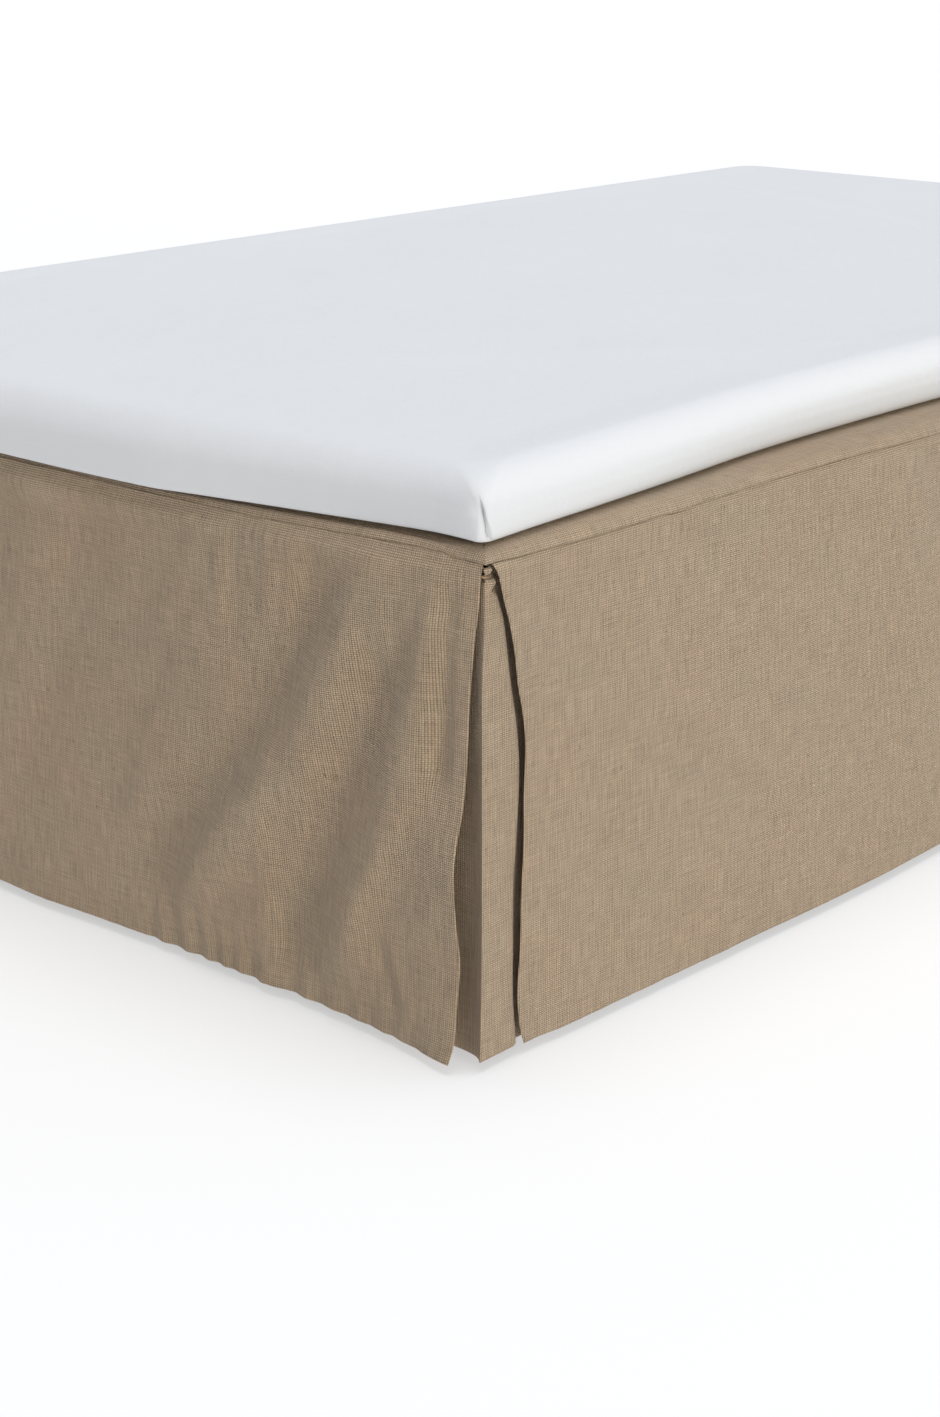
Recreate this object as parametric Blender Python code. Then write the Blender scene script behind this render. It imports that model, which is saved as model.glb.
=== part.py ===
"""Bed skirt with split foot corners on a plain bed: base on legs, deck, bands, drops, gussets, topper.

Metres, +Z up. The origin is on the floor under the middle of the bed, +Y points to the head end and +X to
the right-hand long side. Each cut piece of cloth is one closed sheet, a little apart from its neighbours.
"""
import math
from collections import namedtuple

import bmesh
import bpy
from mathutils import Vector, geometry

# Driving dimensions of the bed
BED_WIDTH = 1.200
BED_LENGTH = 2.000
FOOT_Y = -0.988
HEAD_Y = FOOT_Y + BED_LENGTH
SIDE_X = BED_WIDTH / 2
LEG_HEIGHT = 0.120
LEG_TOP_RADIUS = 0.030
LEG_FOOT_RADIUS = 0.022
LEG_INSET_X = 0.100
LEG_INSET_Y = 0.120
LEG_SIDES = 14
BASE_INSET = 0.015
BASE_CORNER_RADIUS = 0.030
BASE_TOP_RADIUS = 0.018
BASE_BOTTOM_RADIUS = 0.006

# Driving dimensions of the cloth
CLOTH = 0.002
PIECE_GAP = 0.0003
SEAM_GAP = 0.0005
DECK_TOP = 0.460
BAND_WIDTH = 0.100
BAND_ROLL = 0.014
SEAM_HEIGHT = 0.448
HEM_HEIGHT = 0.010
GUSSET_ARM = 0.115
GUSSET_DEPTH = 0.0025
GUSSET_TUCK = 0.0085
BASE_TOP = DECK_TOP - CLOTH - PIECE_GAP

# Driving dimensions of the topper, the thin mattress that lies on the deck
TOPPER_BOTTOM = DECK_TOP + PIECE_GAP
TOPPER_HEIGHT = 0.060
TOPPER_CORNER = 0.010
TOPPER_CORNER_GROWTH = 0.8
TOPPER_CROWN = 0.032
CROWN_INSET = 0.038
CROWN_STEPS = 6
TOPPER_REST = 0.030
DROOP_REACH = 0.050
LIP_SINK = 0.016

# Row types of the tables. Lengths in a table are in millimetres along a panel, measured from the foot
# corner that the panel starts at, heights above the floor, and distances outward from the bed's face.
Seam = namedtuple("Seam", "along height")
Hem = namedtuple("Hem", "along outward")
Edge = namedtuple("Edge", "height along outward")
Fold = namedtuple("Fold", "along_top height_top along_mid height_mid along_low height_low width rise")
Crease = namedtuple("Crease", "height foot_out side_out turn")
Lie = namedtuple("Lie", "along outward droop")

FOOT_SEAM = [
    Seam(0, 449.0), Seam(44, 450.5), Seam(120, 449.0), Seam(204, 446.8), Seam(272, 444.6), Seam(400, 445.5),
    Seam(620, 447.5), Seam(820, 446.0), Seam(1050, 448.5), Seam(1200, 449.0),
]
SIDE_SEAM = [
    Seam(0, 449.0), Seam(20, 448.6), Seam(147, 446.2), Seam(339, 448.6), Seam(475, 449.6), Seam(700, 447.5),
    Seam(1000, 448.8), Seam(1400, 447.0), Seam(2000, 448.0),
]
FOOT_HEM = [
    Hem(0, 32.0), Hem(40, 25.8), Hem(91, 18.5), Hem(160, 11.6), Hem(207, 9.4), Hem(233, 8.4), Hem(252, 12.6),
    Hem(272, 9.8), Hem(304, 8.1), Hem(357, 6.4), Hem(450, 5.9), Hem(560, 10.0), Hem(660, 6.5), Hem(780, 11.0),
    Hem(900, 8.0), Hem(1040, 13.0), Hem(1120, 17.0), Hem(1200, 22.0),
]
RIGHT_HEM = [
    Hem(0, 2.0), Hem(50, 4.5), Hem(79, 6.7), Hem(105, 8.7), Hem(138, 9.6), Hem(203, 11.5), Hem(291, 13.9),
    Hem(385, 16.1), Hem(478, 19.2), Hem(600, 20.5), Hem(760, 16.0), Hem(930, 18.5), Hem(1120, 14.0),
    Hem(1330, 18.0), Hem(1560, 13.0), Hem(1780, 16.0), Hem(2000, 10.0),
]
LEFT_HEM = [
    Hem(0, 3.0), Hem(60, 7.0), Hem(150, 12.0), Hem(280, 16.0), Hem(420, 13.0), Hem(600, 19.0), Hem(800, 15.0),
    Hem(1000, 19.5), Hem(1200, 15.5), Hem(1450, 18.5), Hem(1700, 13.5), Hem(2000, 11.0),
]
FOOT_EDGE = [
    Edge(450, 2, 0), Edge(410, 7, 2), Edge(385, 9, 5), Edge(340, 10, 8), Edge(250, 12, 13), Edge(190, 15, 23),
    Edge(140, 15, 21), Edge(105, 13, 18), Edge(64, 14, 20), Edge(26, 15, 24), Edge(10, 16, 30),
]
FOOT_FAR_EDGE = [
    Edge(450, 2, 0), Edge(400, 8, 3), Edge(330, 12, 7), Edge(250, 17, 9), Edge(170, 16, 14), Edge(90, 18, 17),
    Edge(10, 15, 21),
]
RIGHT_EDGE = [
    Edge(450, 3, 0.4), Edge(436, 11, 3.5), Edge(414, 19, 3.5), Edge(396, 27, 3.5), Edge(370, 33, 4),
    Edge(338, 38, 4), Edge(314, 44, 4), Edge(287, 47, 4.5), Edge(240, 46, 4.2), Edge(196, 46, 4.2),
    Edge(151, 43, 4.5), Edge(105, 42, 4.5), Edge(59, 39, 4.5), Edge(24, 43, 4.5), Edge(10, 48, 4.5),
]
LEFT_EDGE = [
    Edge(450, 3, 0.4), Edge(430, 12, 3.5), Edge(380, 24, 4), Edge(320, 35, 4.5), Edge(240, 38, 5),
    Edge(150, 34, 4.8), Edge(70, 36, 4.8), Edge(10, 42, 4.8),
]
FOOT_FOLDS = [
    Fold(150, 410, 195, 280, 300, 150, 95, 4.0), Fold(172, 398, 238, 280, 392, 116, 23, -6.5),
    Fold(140, 370, 202, 268, 328, 118, 22, 4.8), Fold(92, 335, 150, 250, 234, 88, 22, -4.4),
    Fold(42, 345, 84, 208, 160, 62, 23, 5.0), Fold(222, 420, 300, 290, 415, 155, 27, 2.6),
    Fold(34, 225, 50, 160, 62, 84, 22, 6.5), Fold(36, 425, 42, 350, 52, 262, 13, -4.5),
    Fold(322, 430, 355, 392, 396, 330, 14, 2.2), Fold(345, 268, 385, 205, 412, 130, 20, 2.6),
    Fold(396, 276, 432, 220, 456, 150, 20, -2.4), Fold(283, 432, 287, 390, 290, 345, 8, -2.4),
    Fold(306, 434, 307, 400, 309, 360, 7, 1.6), Fold(224, 428, 234, 405, 244, 384, 12, 1.7),
    Fold(182, 437, 205, 386, 224, 342, 12, 2.2), Fold(150, 438, 162, 415, 176, 388, 11, -2.0),
    Fold(110, 392, 121, 370, 131, 350, 8, -1.6), Fold(84, 400, 96, 375, 106, 352, 8, 1.2),
    Fold(112, 96, 99, 64, 88, 36, 7, -1.7), Fold(93, 96, 82, 66, 73, 40, 7, 1.4),
    Fold(340, 433, 480, 432, 640, 431, 13, 4.0), Fold(500, 360, 560, 240, 610, 120, 36, -4.5),
    Fold(560, 420, 600, 240, 640, 60, 40, 4.0), Fold(700, 380, 740, 220, 780, 60, 46, 5.0),
    Fold(650, 400, 680, 260, 700, 110, 30, -4.0), Fold(840, 430, 870, 280, 900, 120, 36, -4.2),
    Fold(960, 360, 1010, 210, 1060, 60, 40, 4.0),
]
RIGHT_FOLDS = [
    Fold(62, 414, 130, 345, 190, 270, 13, -2.2), Fold(90, 392, 150, 322, 205, 250, 16, 1.0),
    Fold(132, 428, 186, 396, 244, 352, 13, -1.9), Fold(100, 430, 111, 415, 122, 400, 7, -1.2),
    Fold(214, 438, 272, 418, 326, 394, 12, -1.5), Fold(234, 246, 296, 204, 400, 118, 17, -3.0),
    Fold(262, 262, 330, 216, 420, 150, 18, 1.6), Fold(150, 200, 152, 130, 150, 60, 22, -1.6),
    Fold(205, 112, 236, 76, 266, 42, 14, -1.5), Fold(60, 200, 92, 130, 110, 60, 30, 1.8),
    Fold(620, 400, 660, 230, 700, 60, 46, 4.0), Fold(700, 420, 745, 260, 780, 110, 36, -3.2),
    Fold(900, 420, 930, 270, 960, 120, 40, -3.6), Fold(1180, 420, 1210, 240, 1240, 60, 42, -4.0),
    Fold(1290, 410, 1320, 250, 1350, 80, 40, 3.6), Fold(1400, 360, 1440, 205, 1480, 50, 50, 3.8),
    Fold(1700, 400, 1730, 245, 1760, 90, 42, -3.6),
]
LEFT_FOLDS = [
    Fold(120, 400, 190, 280, 260, 160, 30, -3.8), Fold(200, 420, 260, 280, 330, 120, 30, 3.4),
    Fold(330, 410, 375, 245, 420, 80, 40, 3.6), Fold(620, 420, 670, 270, 720, 120, 36, -4.0),
    Fold(760, 400, 800, 240, 850, 90, 36, 3.8), Fold(980, 400, 1020, 230, 1060, 60, 46, 3.6),
    Fold(1300, 410, 1340, 250, 1380, 90, 42, -4.0), Fold(1650, 380, 1685, 220, 1720, 60, 46, 3.4),
]
RIGHT_CREASE = [
    Crease(446, -2.5, -2.5, 11), Crease(432, -2.5, -2.5, 12), Crease(418, -2.3, -2.3, 19),
    Crease(400, -1.2, -1.8, 25.5), Crease(376, 1.2, -1.2, 29.5), Crease(350, 4.0, -0.2, 33),
    Crease(313, 4.4, 0, 39.5),
    Crease(272, 4.5, 0.3, 45.5), Crease(240, 4.5, 0.4, 45), Crease(205, 4.5, 0.4, 42.5), Crease(161, 4.7, 0.5, 38.5),
    Crease(105, 5.4, 0.8, 38.5), Crease(57, 6.8, 1.2, 37.5), Crease(20, 8.2, 1.5, 41), Crease(10, 9.0, 1.5, 41.5),
]
LEFT_CREASE = [
    Crease(446, -2.5, -2.5, 11), Crease(418, -2.3, -2.3, 17), Crease(376, 0.6, -1.2, 24), Crease(313, 3.2, 0.2, 30),
    Crease(205, 3.8, 0.8, 33), Crease(105, 4.6, 1.0, 30), Crease(10, 6.5, 1.6, 36),
]

# How the topper lies: its wall's distance outward from the bed's face and how far its lip hangs below
FOOT_LIE = [
    Lie(0, -3.5, 0.3), Lie(22, -3, -2.0), Lie(60, -1.5, -3.2), Lie(130, 1.5, -1.2), Lie(200, 4.5, 1.0),
    Lie(250, 7, 2.6), Lie(330, 10, 5.0), Lie(400, 13, 6.8), Lie(600, 13, 6.5), Lie(850, 8, 3.0),
    Lie(1050, 0, 0), Lie(1200, -12, 0),
]
RIGHT_LIE = [
    Lie(0, -3.5, 0), Lie(75, -10, 0), Lie(177, -17, 0), Lie(294, -27, 0), Lie(426, -40, 0), Lie(550, -46, 0),
    Lie(800, -48, 0), Lie(1200, -40, 0), Lie(2000, -22, 0),
]
LEFT_LIE = [Lie(0, -12, 0), Lie(1000, -16, 0), Lie(2000, -22, 0)]
HEAD_LIE = [Lie(0, -8, 0), Lie(1200, -8, 0)]

# Section of the topper's lower edge: distance in from its wall and rise above its underside
TOPPER_LIP = [
    (0.0200, 0.0006), (0.0130, 0.0014), (0.0085, 0.0024), (0.0052, 0.0040), (0.0028, 0.0064), (0.0003, 0.0142),
]

# How finely the sheets are divided
EDGE_STEPS = (0, 8, 18, 32, 50, 75)
CORNER_REACH = 480
FOOT_STEPS = (17, 30)
SIDE_STEPS = (23, 48)
DROP_ROWS = (
    0, 0.02, 0.05, 0.10, 0.165, 0.23, 0.295, 0.36, 0.425, 0.49, 0.555, 0.62, 0.685, 0.75, 0.82, 0.89, 0.95, 1.0,
)
GUSSET_ROWS = (0, 0.03, 0.08, 0.18, 0.30, 0.44, 0.58, 0.72, 0.86, 1.0)
EDGE_REACH = 130
EDGE_BLEND = 60
RAMP_POWER = 1.1
BAND_STEP = 110
ROLL_STEPS = 4
SEAM_FREE = 14
HEM_FREE = 45
EDGE_FREE = 24

CANVAS = ("skirt_canvas", (0.352, 0.271, 0.183), 0.90)
DECK_CLOTH = ("deck_cotton", (0.70, 0.67, 0.61), 0.85)
SHEET = ("white_sheet", (0.78, 0.79, 0.82), 0.80)
COVER = ("base_cover", (0.34, 0.32, 0.30), 0.90)
WOOD = ("leg_wood", (0.30, 0.19, 0.11), 0.50)


def mm(value):
    return value / 1000


def clear_scene():
    for item in list(bpy.data.objects):
        bpy.data.objects.remove(item, do_unlink=True)


def material(finish):
    name, colour, roughness = finish
    made = bpy.data.materials.get(name)
    if made is None:
        made = bpy.data.materials.new(name)
        made.use_nodes = True
        shader = made.node_tree.nodes["Principled BSDF"]
        shader.inputs["Base Color"].default_value = (*colour, 1)
        shader.inputs["Roughness"].default_value = roughness
        shader.inputs["Metallic"].default_value = 0
    return made


def add_object(name, mesh_maker, finish, smooth_angle=35):
    mesh = bpy.data.meshes.new(name)
    mesh_maker.to_mesh(mesh)
    mesh_maker.free()
    mesh.materials.append(material(finish))
    mesh.shade_smooth()
    mesh.set_sharp_from_angle(angle=math.radians(smooth_angle))
    made = bpy.data.objects.new(name, mesh)
    bpy.context.scene.collection.objects.link(made)
    return made


def smoothstep(value):
    held = min(1.0, max(0.0, value))
    return held * held * (3 - 2 * held)


def follow(rows, at, column, key="along"):
    """Smooth curve through one column of a table, flat beyond its two ends."""
    keys = [getattr(row, key) for row in rows]
    values = [getattr(row, column) for row in rows]
    if keys[0] > keys[-1]:
        keys.reverse()
        values.reverse()
    if at <= keys[0]:
        return values[0]
    if at >= keys[-1]:
        return values[-1]
    i = max(n for n, k in enumerate(keys) if k <= at)
    before = max(i - 1, 0)
    after = min(i + 2, len(keys) - 1)
    span = keys[i + 1] - keys[i]
    slope_in = (values[i + 1] - values[before]) / (keys[i + 1] - keys[before]) * span
    slope_out = (values[after] - values[i]) / (keys[after] - keys[i]) * span
    t = (at - keys[i]) / span
    return (
        values[i] * (2 * t ** 3 - 3 * t ** 2 + 1)
        + slope_in * (t ** 3 - 2 * t ** 2 + t)
        + values[i + 1] * (3 * t ** 2 - 2 * t ** 3)
        + slope_out * (t ** 3 - t ** 2)
    )


def band_stations(panel):
    """Even distances along a band at which its section is placed."""
    count = round(panel["length"] / BAND_STEP)
    return [panel["length"] * n / count for n in range(count + 1)]


def seam_height(panel, along):
    """Height of the seam, straight between the band's stations."""
    stations = band_stations(panel)
    held = min(max(along, 0), stations[-1])
    step = stations[1]
    n = min(int(held / step), len(stations) - 2)
    start = follow(panel["seam"], stations[n], "height")
    end = follow(panel["seam"], stations[n + 1], "height")
    return start + (end - start) * (held / step - n)


def fold_rise(folds, along, height):
    """Height of the folds at a place: each is a soft ridge or trough along a line of two runs."""
    total = 0.0
    for fold in folds:
        reach = 3 * fold.width
        low_along, high_along = min(fold.along_top, fold.along_low), max(fold.along_top, fold.along_low)
        if along < low_along - reach or along > high_along + reach:
            continue
        best = 0.0
        middle = (fold.along_mid, fold.height_mid)
        marks = ((fold.along_top, fold.height_top), middle, (fold.along_low, fold.height_low))
        for n, (start, end) in enumerate(zip(marks, marks[1:])):
            run, fall = end[0] - start[0], end[1] - start[1]
            t = ((along - start[0]) * run + (height - start[1]) * fall) / (run * run + fall * fall)
            held = min(1.0, max(0.0, t))
            length = math.hypot(run, fall)
            past = max(-t if n == 0 else 0.0, t - 1 if n == 1 else 0.0, 0.0) * length
            gap_x = along - start[0] - run * held
            gap_y = height - start[1] - fall * held
            off_square = max(0.0, gap_x * gap_x + gap_y * gap_y - past * past)
            taper = math.exp(-((past / (1.6 * fold.width)) ** 2))
            best = max(best, math.exp(-off_square / fold.width ** 2) * taper)
        total += fold.rise * best
    return total


def column_places(length, steps, split_at_end):
    """Distances of a panel's columns from its first free edge, closer together near a free edge and corner."""
    first = list(EDGE_STEPS)
    last = [length - place for place in reversed(EDGE_STEPS)] if split_at_end else [length]
    middle = []
    for start, end, step in ((first[-1], CORNER_REACH, steps[0]), (CORNER_REACH, last[0], steps[1])):
        count = max(1, round((end - start) / step))
        middle += [start + (end - start) * n / count for n in range(1, count + 1)]
    return first + middle[:-1] + last


def drop_point(panel, place, fall):
    """One point of a drop's outer face: along the bed's face, outward from it, and its height."""
    start, far = panel["start_edge"], panel["far_edge"]
    length = panel["length"]
    height = SEAM_HEIGHT * 1000 * (1 - fall) + HEM_HEIGHT * 1000 * fall
    shift = follow(start, height, "along", "height") * (1 - smoothstep(place / EDGE_REACH))
    near_start = 1 - smoothstep(place / EDGE_BLEND)
    near_far = 0.0
    from_edge = place
    if far:
        shift -= follow(far, height, "along", "height") * (1 - smoothstep((length - place) / EDGE_REACH))
        near_far = 1 - smoothstep((length - place) / EDGE_BLEND)
        from_edge = min(place, length - place)
    along = place + shift
    top = seam_height(panel, along) - SEAM_GAP * 1000
    height = top * (1 - fall) + HEM_HEIGHT * 1000 * fall
    outward = follow(panel["hem"], along, "outward") * fall ** RAMP_POWER
    outward += (follow(start, height, "outward", "height") - outward) * near_start
    if far:
        outward += (follow(far, height, "outward", "height") - outward) * near_far
    free = smoothstep((top - height) / SEAM_FREE) * smoothstep((height - HEM_HEIGHT * 1000) / HEM_FREE)
    outward += fold_rise(panel["folds"], along, height) * free * smoothstep(from_edge / EDGE_FREE)
    return along, max(outward, -1.0 * smoothstep(fall / 0.1)), height


def sheet_from_grid(outer, inner):
    """Closed sheet between two grids of points of the same size."""
    made = bmesh.new()
    faces = [[[made.verts.new(point) for point in line] for line in grid] for grid in (outer, inner)]
    columns, rows = len(outer), len(outer[0])
    for side in faces:
        for i in range(columns - 1):
            for j in range(rows - 1):
                made.faces.new((side[i][j], side[i + 1][j], side[i + 1][j + 1], side[i][j + 1]))
    rim = [(i, 0) for i in range(columns)]
    rim += [(columns - 1, j) for j in range(1, rows)]
    rim += [(i, rows - 1) for i in range(columns - 2, -1, -1)]
    rim += [(0, j) for j in range(rows - 2, 0, -1)]
    for (i, j), (k, m) in zip(rim, rim[1:] + rim[:1]):
        made.faces.new((faces[0][i][j], faces[0][k][m], faces[1][k][m], faces[1][i][j]))
    bmesh.ops.triangulate(made, faces=made.faces[:])
    bmesh.ops.recalc_face_normals(made, faces=made.faces[:])
    return made


def on_foot(along, outward, height):
    return (SIDE_X - mm(along), FOOT_Y - mm(outward), mm(height))


def on_right(along, outward, height):
    return (SIDE_X + mm(outward), FOOT_Y + mm(along), mm(height))


def on_left(along, outward, height):
    return (-SIDE_X - mm(outward), FOOT_Y + mm(along), mm(height))


PANELS = {
    "foot": dict(
        length=BED_WIDTH * 1000, steps=FOOT_STEPS, seam=FOOT_SEAM, hem=FOOT_HEM, folds=FOOT_FOLDS,
        start_edge=FOOT_EDGE, far_edge=FOOT_FAR_EDGE, place=on_foot,
    ),
    "right": dict(
        length=BED_LENGTH * 1000, steps=SIDE_STEPS, seam=SIDE_SEAM, hem=RIGHT_HEM, folds=RIGHT_FOLDS,
        start_edge=RIGHT_EDGE, far_edge=None, place=on_right,
    ),
    "left": dict(
        length=BED_LENGTH * 1000, steps=SIDE_STEPS, seam=SIDE_SEAM, hem=LEFT_HEM, folds=LEFT_FOLDS,
        start_edge=LEFT_EDGE, far_edge=None, place=on_left,
    ),
}


def make_drop(side):
    panel = PANELS[side]
    outer, inner = [], []
    for place in column_places(panel["length"], panel["steps"], panel["far_edge"] is not None):
        points = [drop_point(panel, place, fall) for fall in DROP_ROWS]
        outer.append([panel["place"](*point) for point in points])
        inner.append([panel["place"](a, out - CLOTH * 1000, h) for a, out, h in points])
    return add_object(f"drop_{side}", sheet_from_grid(outer, inner), CANVAS)


def band_section(seam):
    """Outer face of a band, from its inner edge on the deck to the seam: distance in, and height."""
    roll = BAND_ROLL * 1000
    fall = DECK_TOP * 1000 - seam
    points = [(BAND_WIDTH * 1000, DECK_TOP * 1000)]
    for n in range(ROLL_STEPS + 1):
        turn = math.pi / 2 * n / ROLL_STEPS
        points.append((roll * (1 - math.sin(turn)), seam + fall * math.cos(turn)))
    return points


def band_lining_side(seam):
    """The same face one thickness of cloth further in."""
    thick = CLOTH * 1000
    roll = BAND_ROLL * 1000 - thick
    fall = DECK_TOP * 1000 - thick - seam
    points = [(BAND_WIDTH * 1000, DECK_TOP * 1000 - thick)]
    for n in range(ROLL_STEPS + 1):
        turn = math.pi / 2 * n / ROLL_STEPS
        points.append((thick + roll * (1 - math.sin(turn)), seam + fall * math.cos(turn)))
    return points


def make_band(side):
    panel = PANELS[side]
    length = panel["length"]
    mitre_gap = PIECE_GAP * 1000
    mitred_end = panel["far_edge"] is not None
    grids = ([], [])
    for station in band_stations(panel):
        share = station / length
        for grid, section in zip(grids, (band_section, band_lining_side)):
            line = []
            for inset, _ in section(SEAM_HEIGHT * 1000):
                start = inset + mitre_gap
                stop = length - inset - mitre_gap if mitred_end else length
                line.append(start + (stop - start) * share)
            seam = seam_height(panel, station)
            grid.append([panel["place"](a, -inset, h) for a, (inset, h) in zip(line, section(seam))])
    return add_object(f"band_{side}", sheet_from_grid(*grids), CANVAS)


def gusset_path(rows, height):
    """Plan of a gusset at one height: along the foot face, round the corner, and into the side pleat."""
    corner_foot = follow(rows, height, "foot_out", "height")
    corner_side = follow(rows, height, "side_out", "height")
    turn = follow(rows, height, "turn", "height")
    arm = GUSSET_ARM * 1000
    rest = GUSSET_DEPTH * 1000 + 1.0
    path = []
    for reach in (arm, 85, 60, 40, 26, 15, 7, 2.5):
        nearness = math.exp(-reach / 13)
        foot = corner_foot * nearness - rest * (1 - nearness)
        path.append((corner_side * nearness - reach, foot))
    path.append((corner_side, corner_foot))
    for share in (0.18, 0.5, 0.78):
        path.append((corner_side, corner_foot * math.exp(-share * turn / 9) - share * turn))
    deep = GUSSET_TUCK * 1000
    for step, sink in ((-1.2, 0.5), (0.9, 2.6), (2.3, 5.2), (4.8, 7.4), (10, deep)):
        level = corner_side * (1 - smoothstep(sink / deep)) - sink
        path.append((level, -turn - step))
    for reach in (75, arm):
        path.append((-deep, -reach))
    return path


def inward_copy(path, thickness):
    """The path moved to its inner side by one thickness, mitred at every point."""
    moved = []
    for n, (x, y) in enumerate(path):
        normals = []
        for a, b in ((n - 1, n), (n, n + 1)):
            if a >= 0 and b < len(path):
                run_x = path[b][0] - path[a][0]
                run_y = path[b][1] - path[a][1]
                size = math.hypot(run_x, run_y)
                normals.append((-run_y / size, run_x / size))
        mean_x = sum(normal[0] for normal in normals)
        mean_y = sum(normal[1] for normal in normals)
        size = math.hypot(mean_x, mean_y)
        spread = max(0.6, size / len(normals))
        moved.append((x - mean_x / size * thickness / spread, y - mean_y / size * thickness / spread))
    return moved


def make_gusset(side, rows, direction):
    top = SEAM_HEIGHT * 1000 - 2.2
    heights = [top - (top - HEM_HEIGHT * 1000) * fall for fall in GUSSET_ROWS]
    outer_rows = [gusset_path(rows, height) for height in heights]
    inner_rows = [inward_copy(path, CLOTH * 1000) for path in outer_rows]

    def placed(point, height):
        return (direction * (SIDE_X + mm(point[0])), FOOT_Y - mm(point[1]), mm(height))

    grids = []
    for lines in (outer_rows, inner_rows):
        columns = range(len(lines[0]))
        grids.append([[placed(line[n], height) for line, height in zip(lines, heights)] for n in columns])
    return add_object(f"gusset_{side}", sheet_from_grid(*grids), CANVAS)


def make_deck():
    edge_x = SIDE_X - BAND_WIDTH - PIECE_GAP
    low = (-edge_x, FOOT_Y + BAND_WIDTH + PIECE_GAP, DECK_TOP - CLOTH)
    high = (edge_x, HEAD_Y, DECK_TOP)
    made = bmesh.new()
    bmesh.ops.create_cube(made, size=1)
    for vert in made.verts:
        vert.co = [low[n] + (high[n] - low[n]) * (vert.co[n] + 0.5) for n in range(3)]
    return add_object("skirt_deck", made, DECK_CLOTH)


def slab_from_rings(rings):
    """Closed body through a stack of rings with the same number of points, capped at both ends."""
    made = bmesh.new()
    loops = [[made.verts.new(point) for point in ring] for ring in rings]
    for low, high in zip(loops, loops[1:]):
        for n in range(len(low)):
            m = (n + 1) % len(low)
            made.faces.new((low[n], low[m], high[m], high[n]))
    made.faces.new(loops[0])
    made.faces.new(loops[-1])
    bmesh.ops.triangulate(made, faces=made.faces[:])
    bmesh.ops.recalc_face_normals(made, faces=made.faces[:])
    return made


def rounded_rectangle(half_x, low_y, high_y, radius, steps):
    points = []
    for turn, x, y in ((0, 1, 1), (1, -1, 1), (2, -1, 0), (3, 1, 0)):
        centre_x = x * (half_x - radius)
        centre_y = high_y - radius if y else low_y + radius
        for n in range(steps + 1):
            angle = math.pi / 2 * (turn + n / steps)
            points.append((centre_x + radius * math.cos(angle), centre_y + radius * math.sin(angle)))
    return points


def make_base():
    half_x = SIDE_X - BASE_INSET
    low_y = FOOT_Y + BASE_INSET
    section = [(BASE_BOTTOM_RADIUS, LEG_HEIGHT), (0, LEG_HEIGHT + BASE_BOTTOM_RADIUS)]
    for n in range(ROLL_STEPS + 1):
        turn = math.pi / 2 * n / ROLL_STEPS
        inset = BASE_TOP_RADIUS * (1 - math.cos(turn))
        section.append((inset, BASE_TOP - BASE_TOP_RADIUS * (1 - math.sin(turn))))
    rings = []
    for inset, height in section:
        outline = rounded_rectangle(half_x - inset, low_y + inset, HEAD_Y - inset, BASE_CORNER_RADIUS - inset, 4)
        rings.append([(x, y, height) for x, y in outline])
    return add_object("bed_base", slab_from_rings(rings), COVER)


def make_legs():
    middle_y = (FOOT_Y + HEAD_Y) / 2
    legs = []
    for y in (FOOT_Y + LEG_INSET_Y, middle_y, HEAD_Y - LEG_INSET_Y):
        for x in (-SIDE_X + LEG_INSET_X, SIDE_X - LEG_INSET_X):
            height = LEG_HEIGHT - PIECE_GAP
            made = bmesh.new()
            bmesh.ops.create_cone(
                made, cap_ends=True, segments=LEG_SIDES, radius1=LEG_FOOT_RADIUS, radius2=LEG_TOP_RADIUS, depth=height
            )
            bmesh.ops.translate(made, verts=made.verts[:], vec=(x, y, height / 2))
            legs.append(add_object(f"bed_leg_{len(legs) + 1}", made, WOOD))
    return legs


def spread(start, end, step):
    count = max(1, round((end - start) / step))
    return [start + (end - start) * n / count for n in range(count)]


RIGHT_RUN = spread(0, 60, 30) + spread(60, 500, 55) + spread(500, 2000, 150)
HEAD_RUN = spread(0, 1200, 150)
LEFT_RUN = spread(0, 2000, 200)
FOOT_RUN = spread(0, 700, 100) + spread(700, 1100, 50) + spread(1100, 1200, 25)


def topper_ring(inset):
    """Places round the topper at one distance in from its edge, each with its way in, before it is laid."""
    radius = TOPPER_CORNER + TOPPER_CORNER_GROWTH * inset
    half = SIDE_X - inset
    low, high = FOOT_Y + inset, HEAD_Y - inset
    centres = [
        (half - radius, low + radius), (half - radius, high - radius),
        (-half + radius, high - radius), (-half + radius, low + radius),
    ]
    arcs = []
    for turn, (x, y) in enumerate(centres):
        angles = [math.pi / 2 * (turn - 1 + n / 4) for n in range(5)]
        arcs.append([(x + radius * math.cos(a), y + radius * math.sin(a)) for a in angles])
    ring = []
    runs = ((RIGHT_RUN, BED_LENGTH), (HEAD_RUN, BED_WIDTH), (LEFT_RUN, BED_LENGTH), (FOOT_RUN, BED_WIDTH))
    for n, (arc, (run, length)) in enumerate(zip(arcs, runs)):
        ring += arc
        first, last = arc[-1], arcs[(n + 1) % 4][0]
        for place in run[1:]:
            share = mm(place) / length
            ring.append(tuple(a + (b - a) * share for a, b in zip(first, last)))
    return ring


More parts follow.
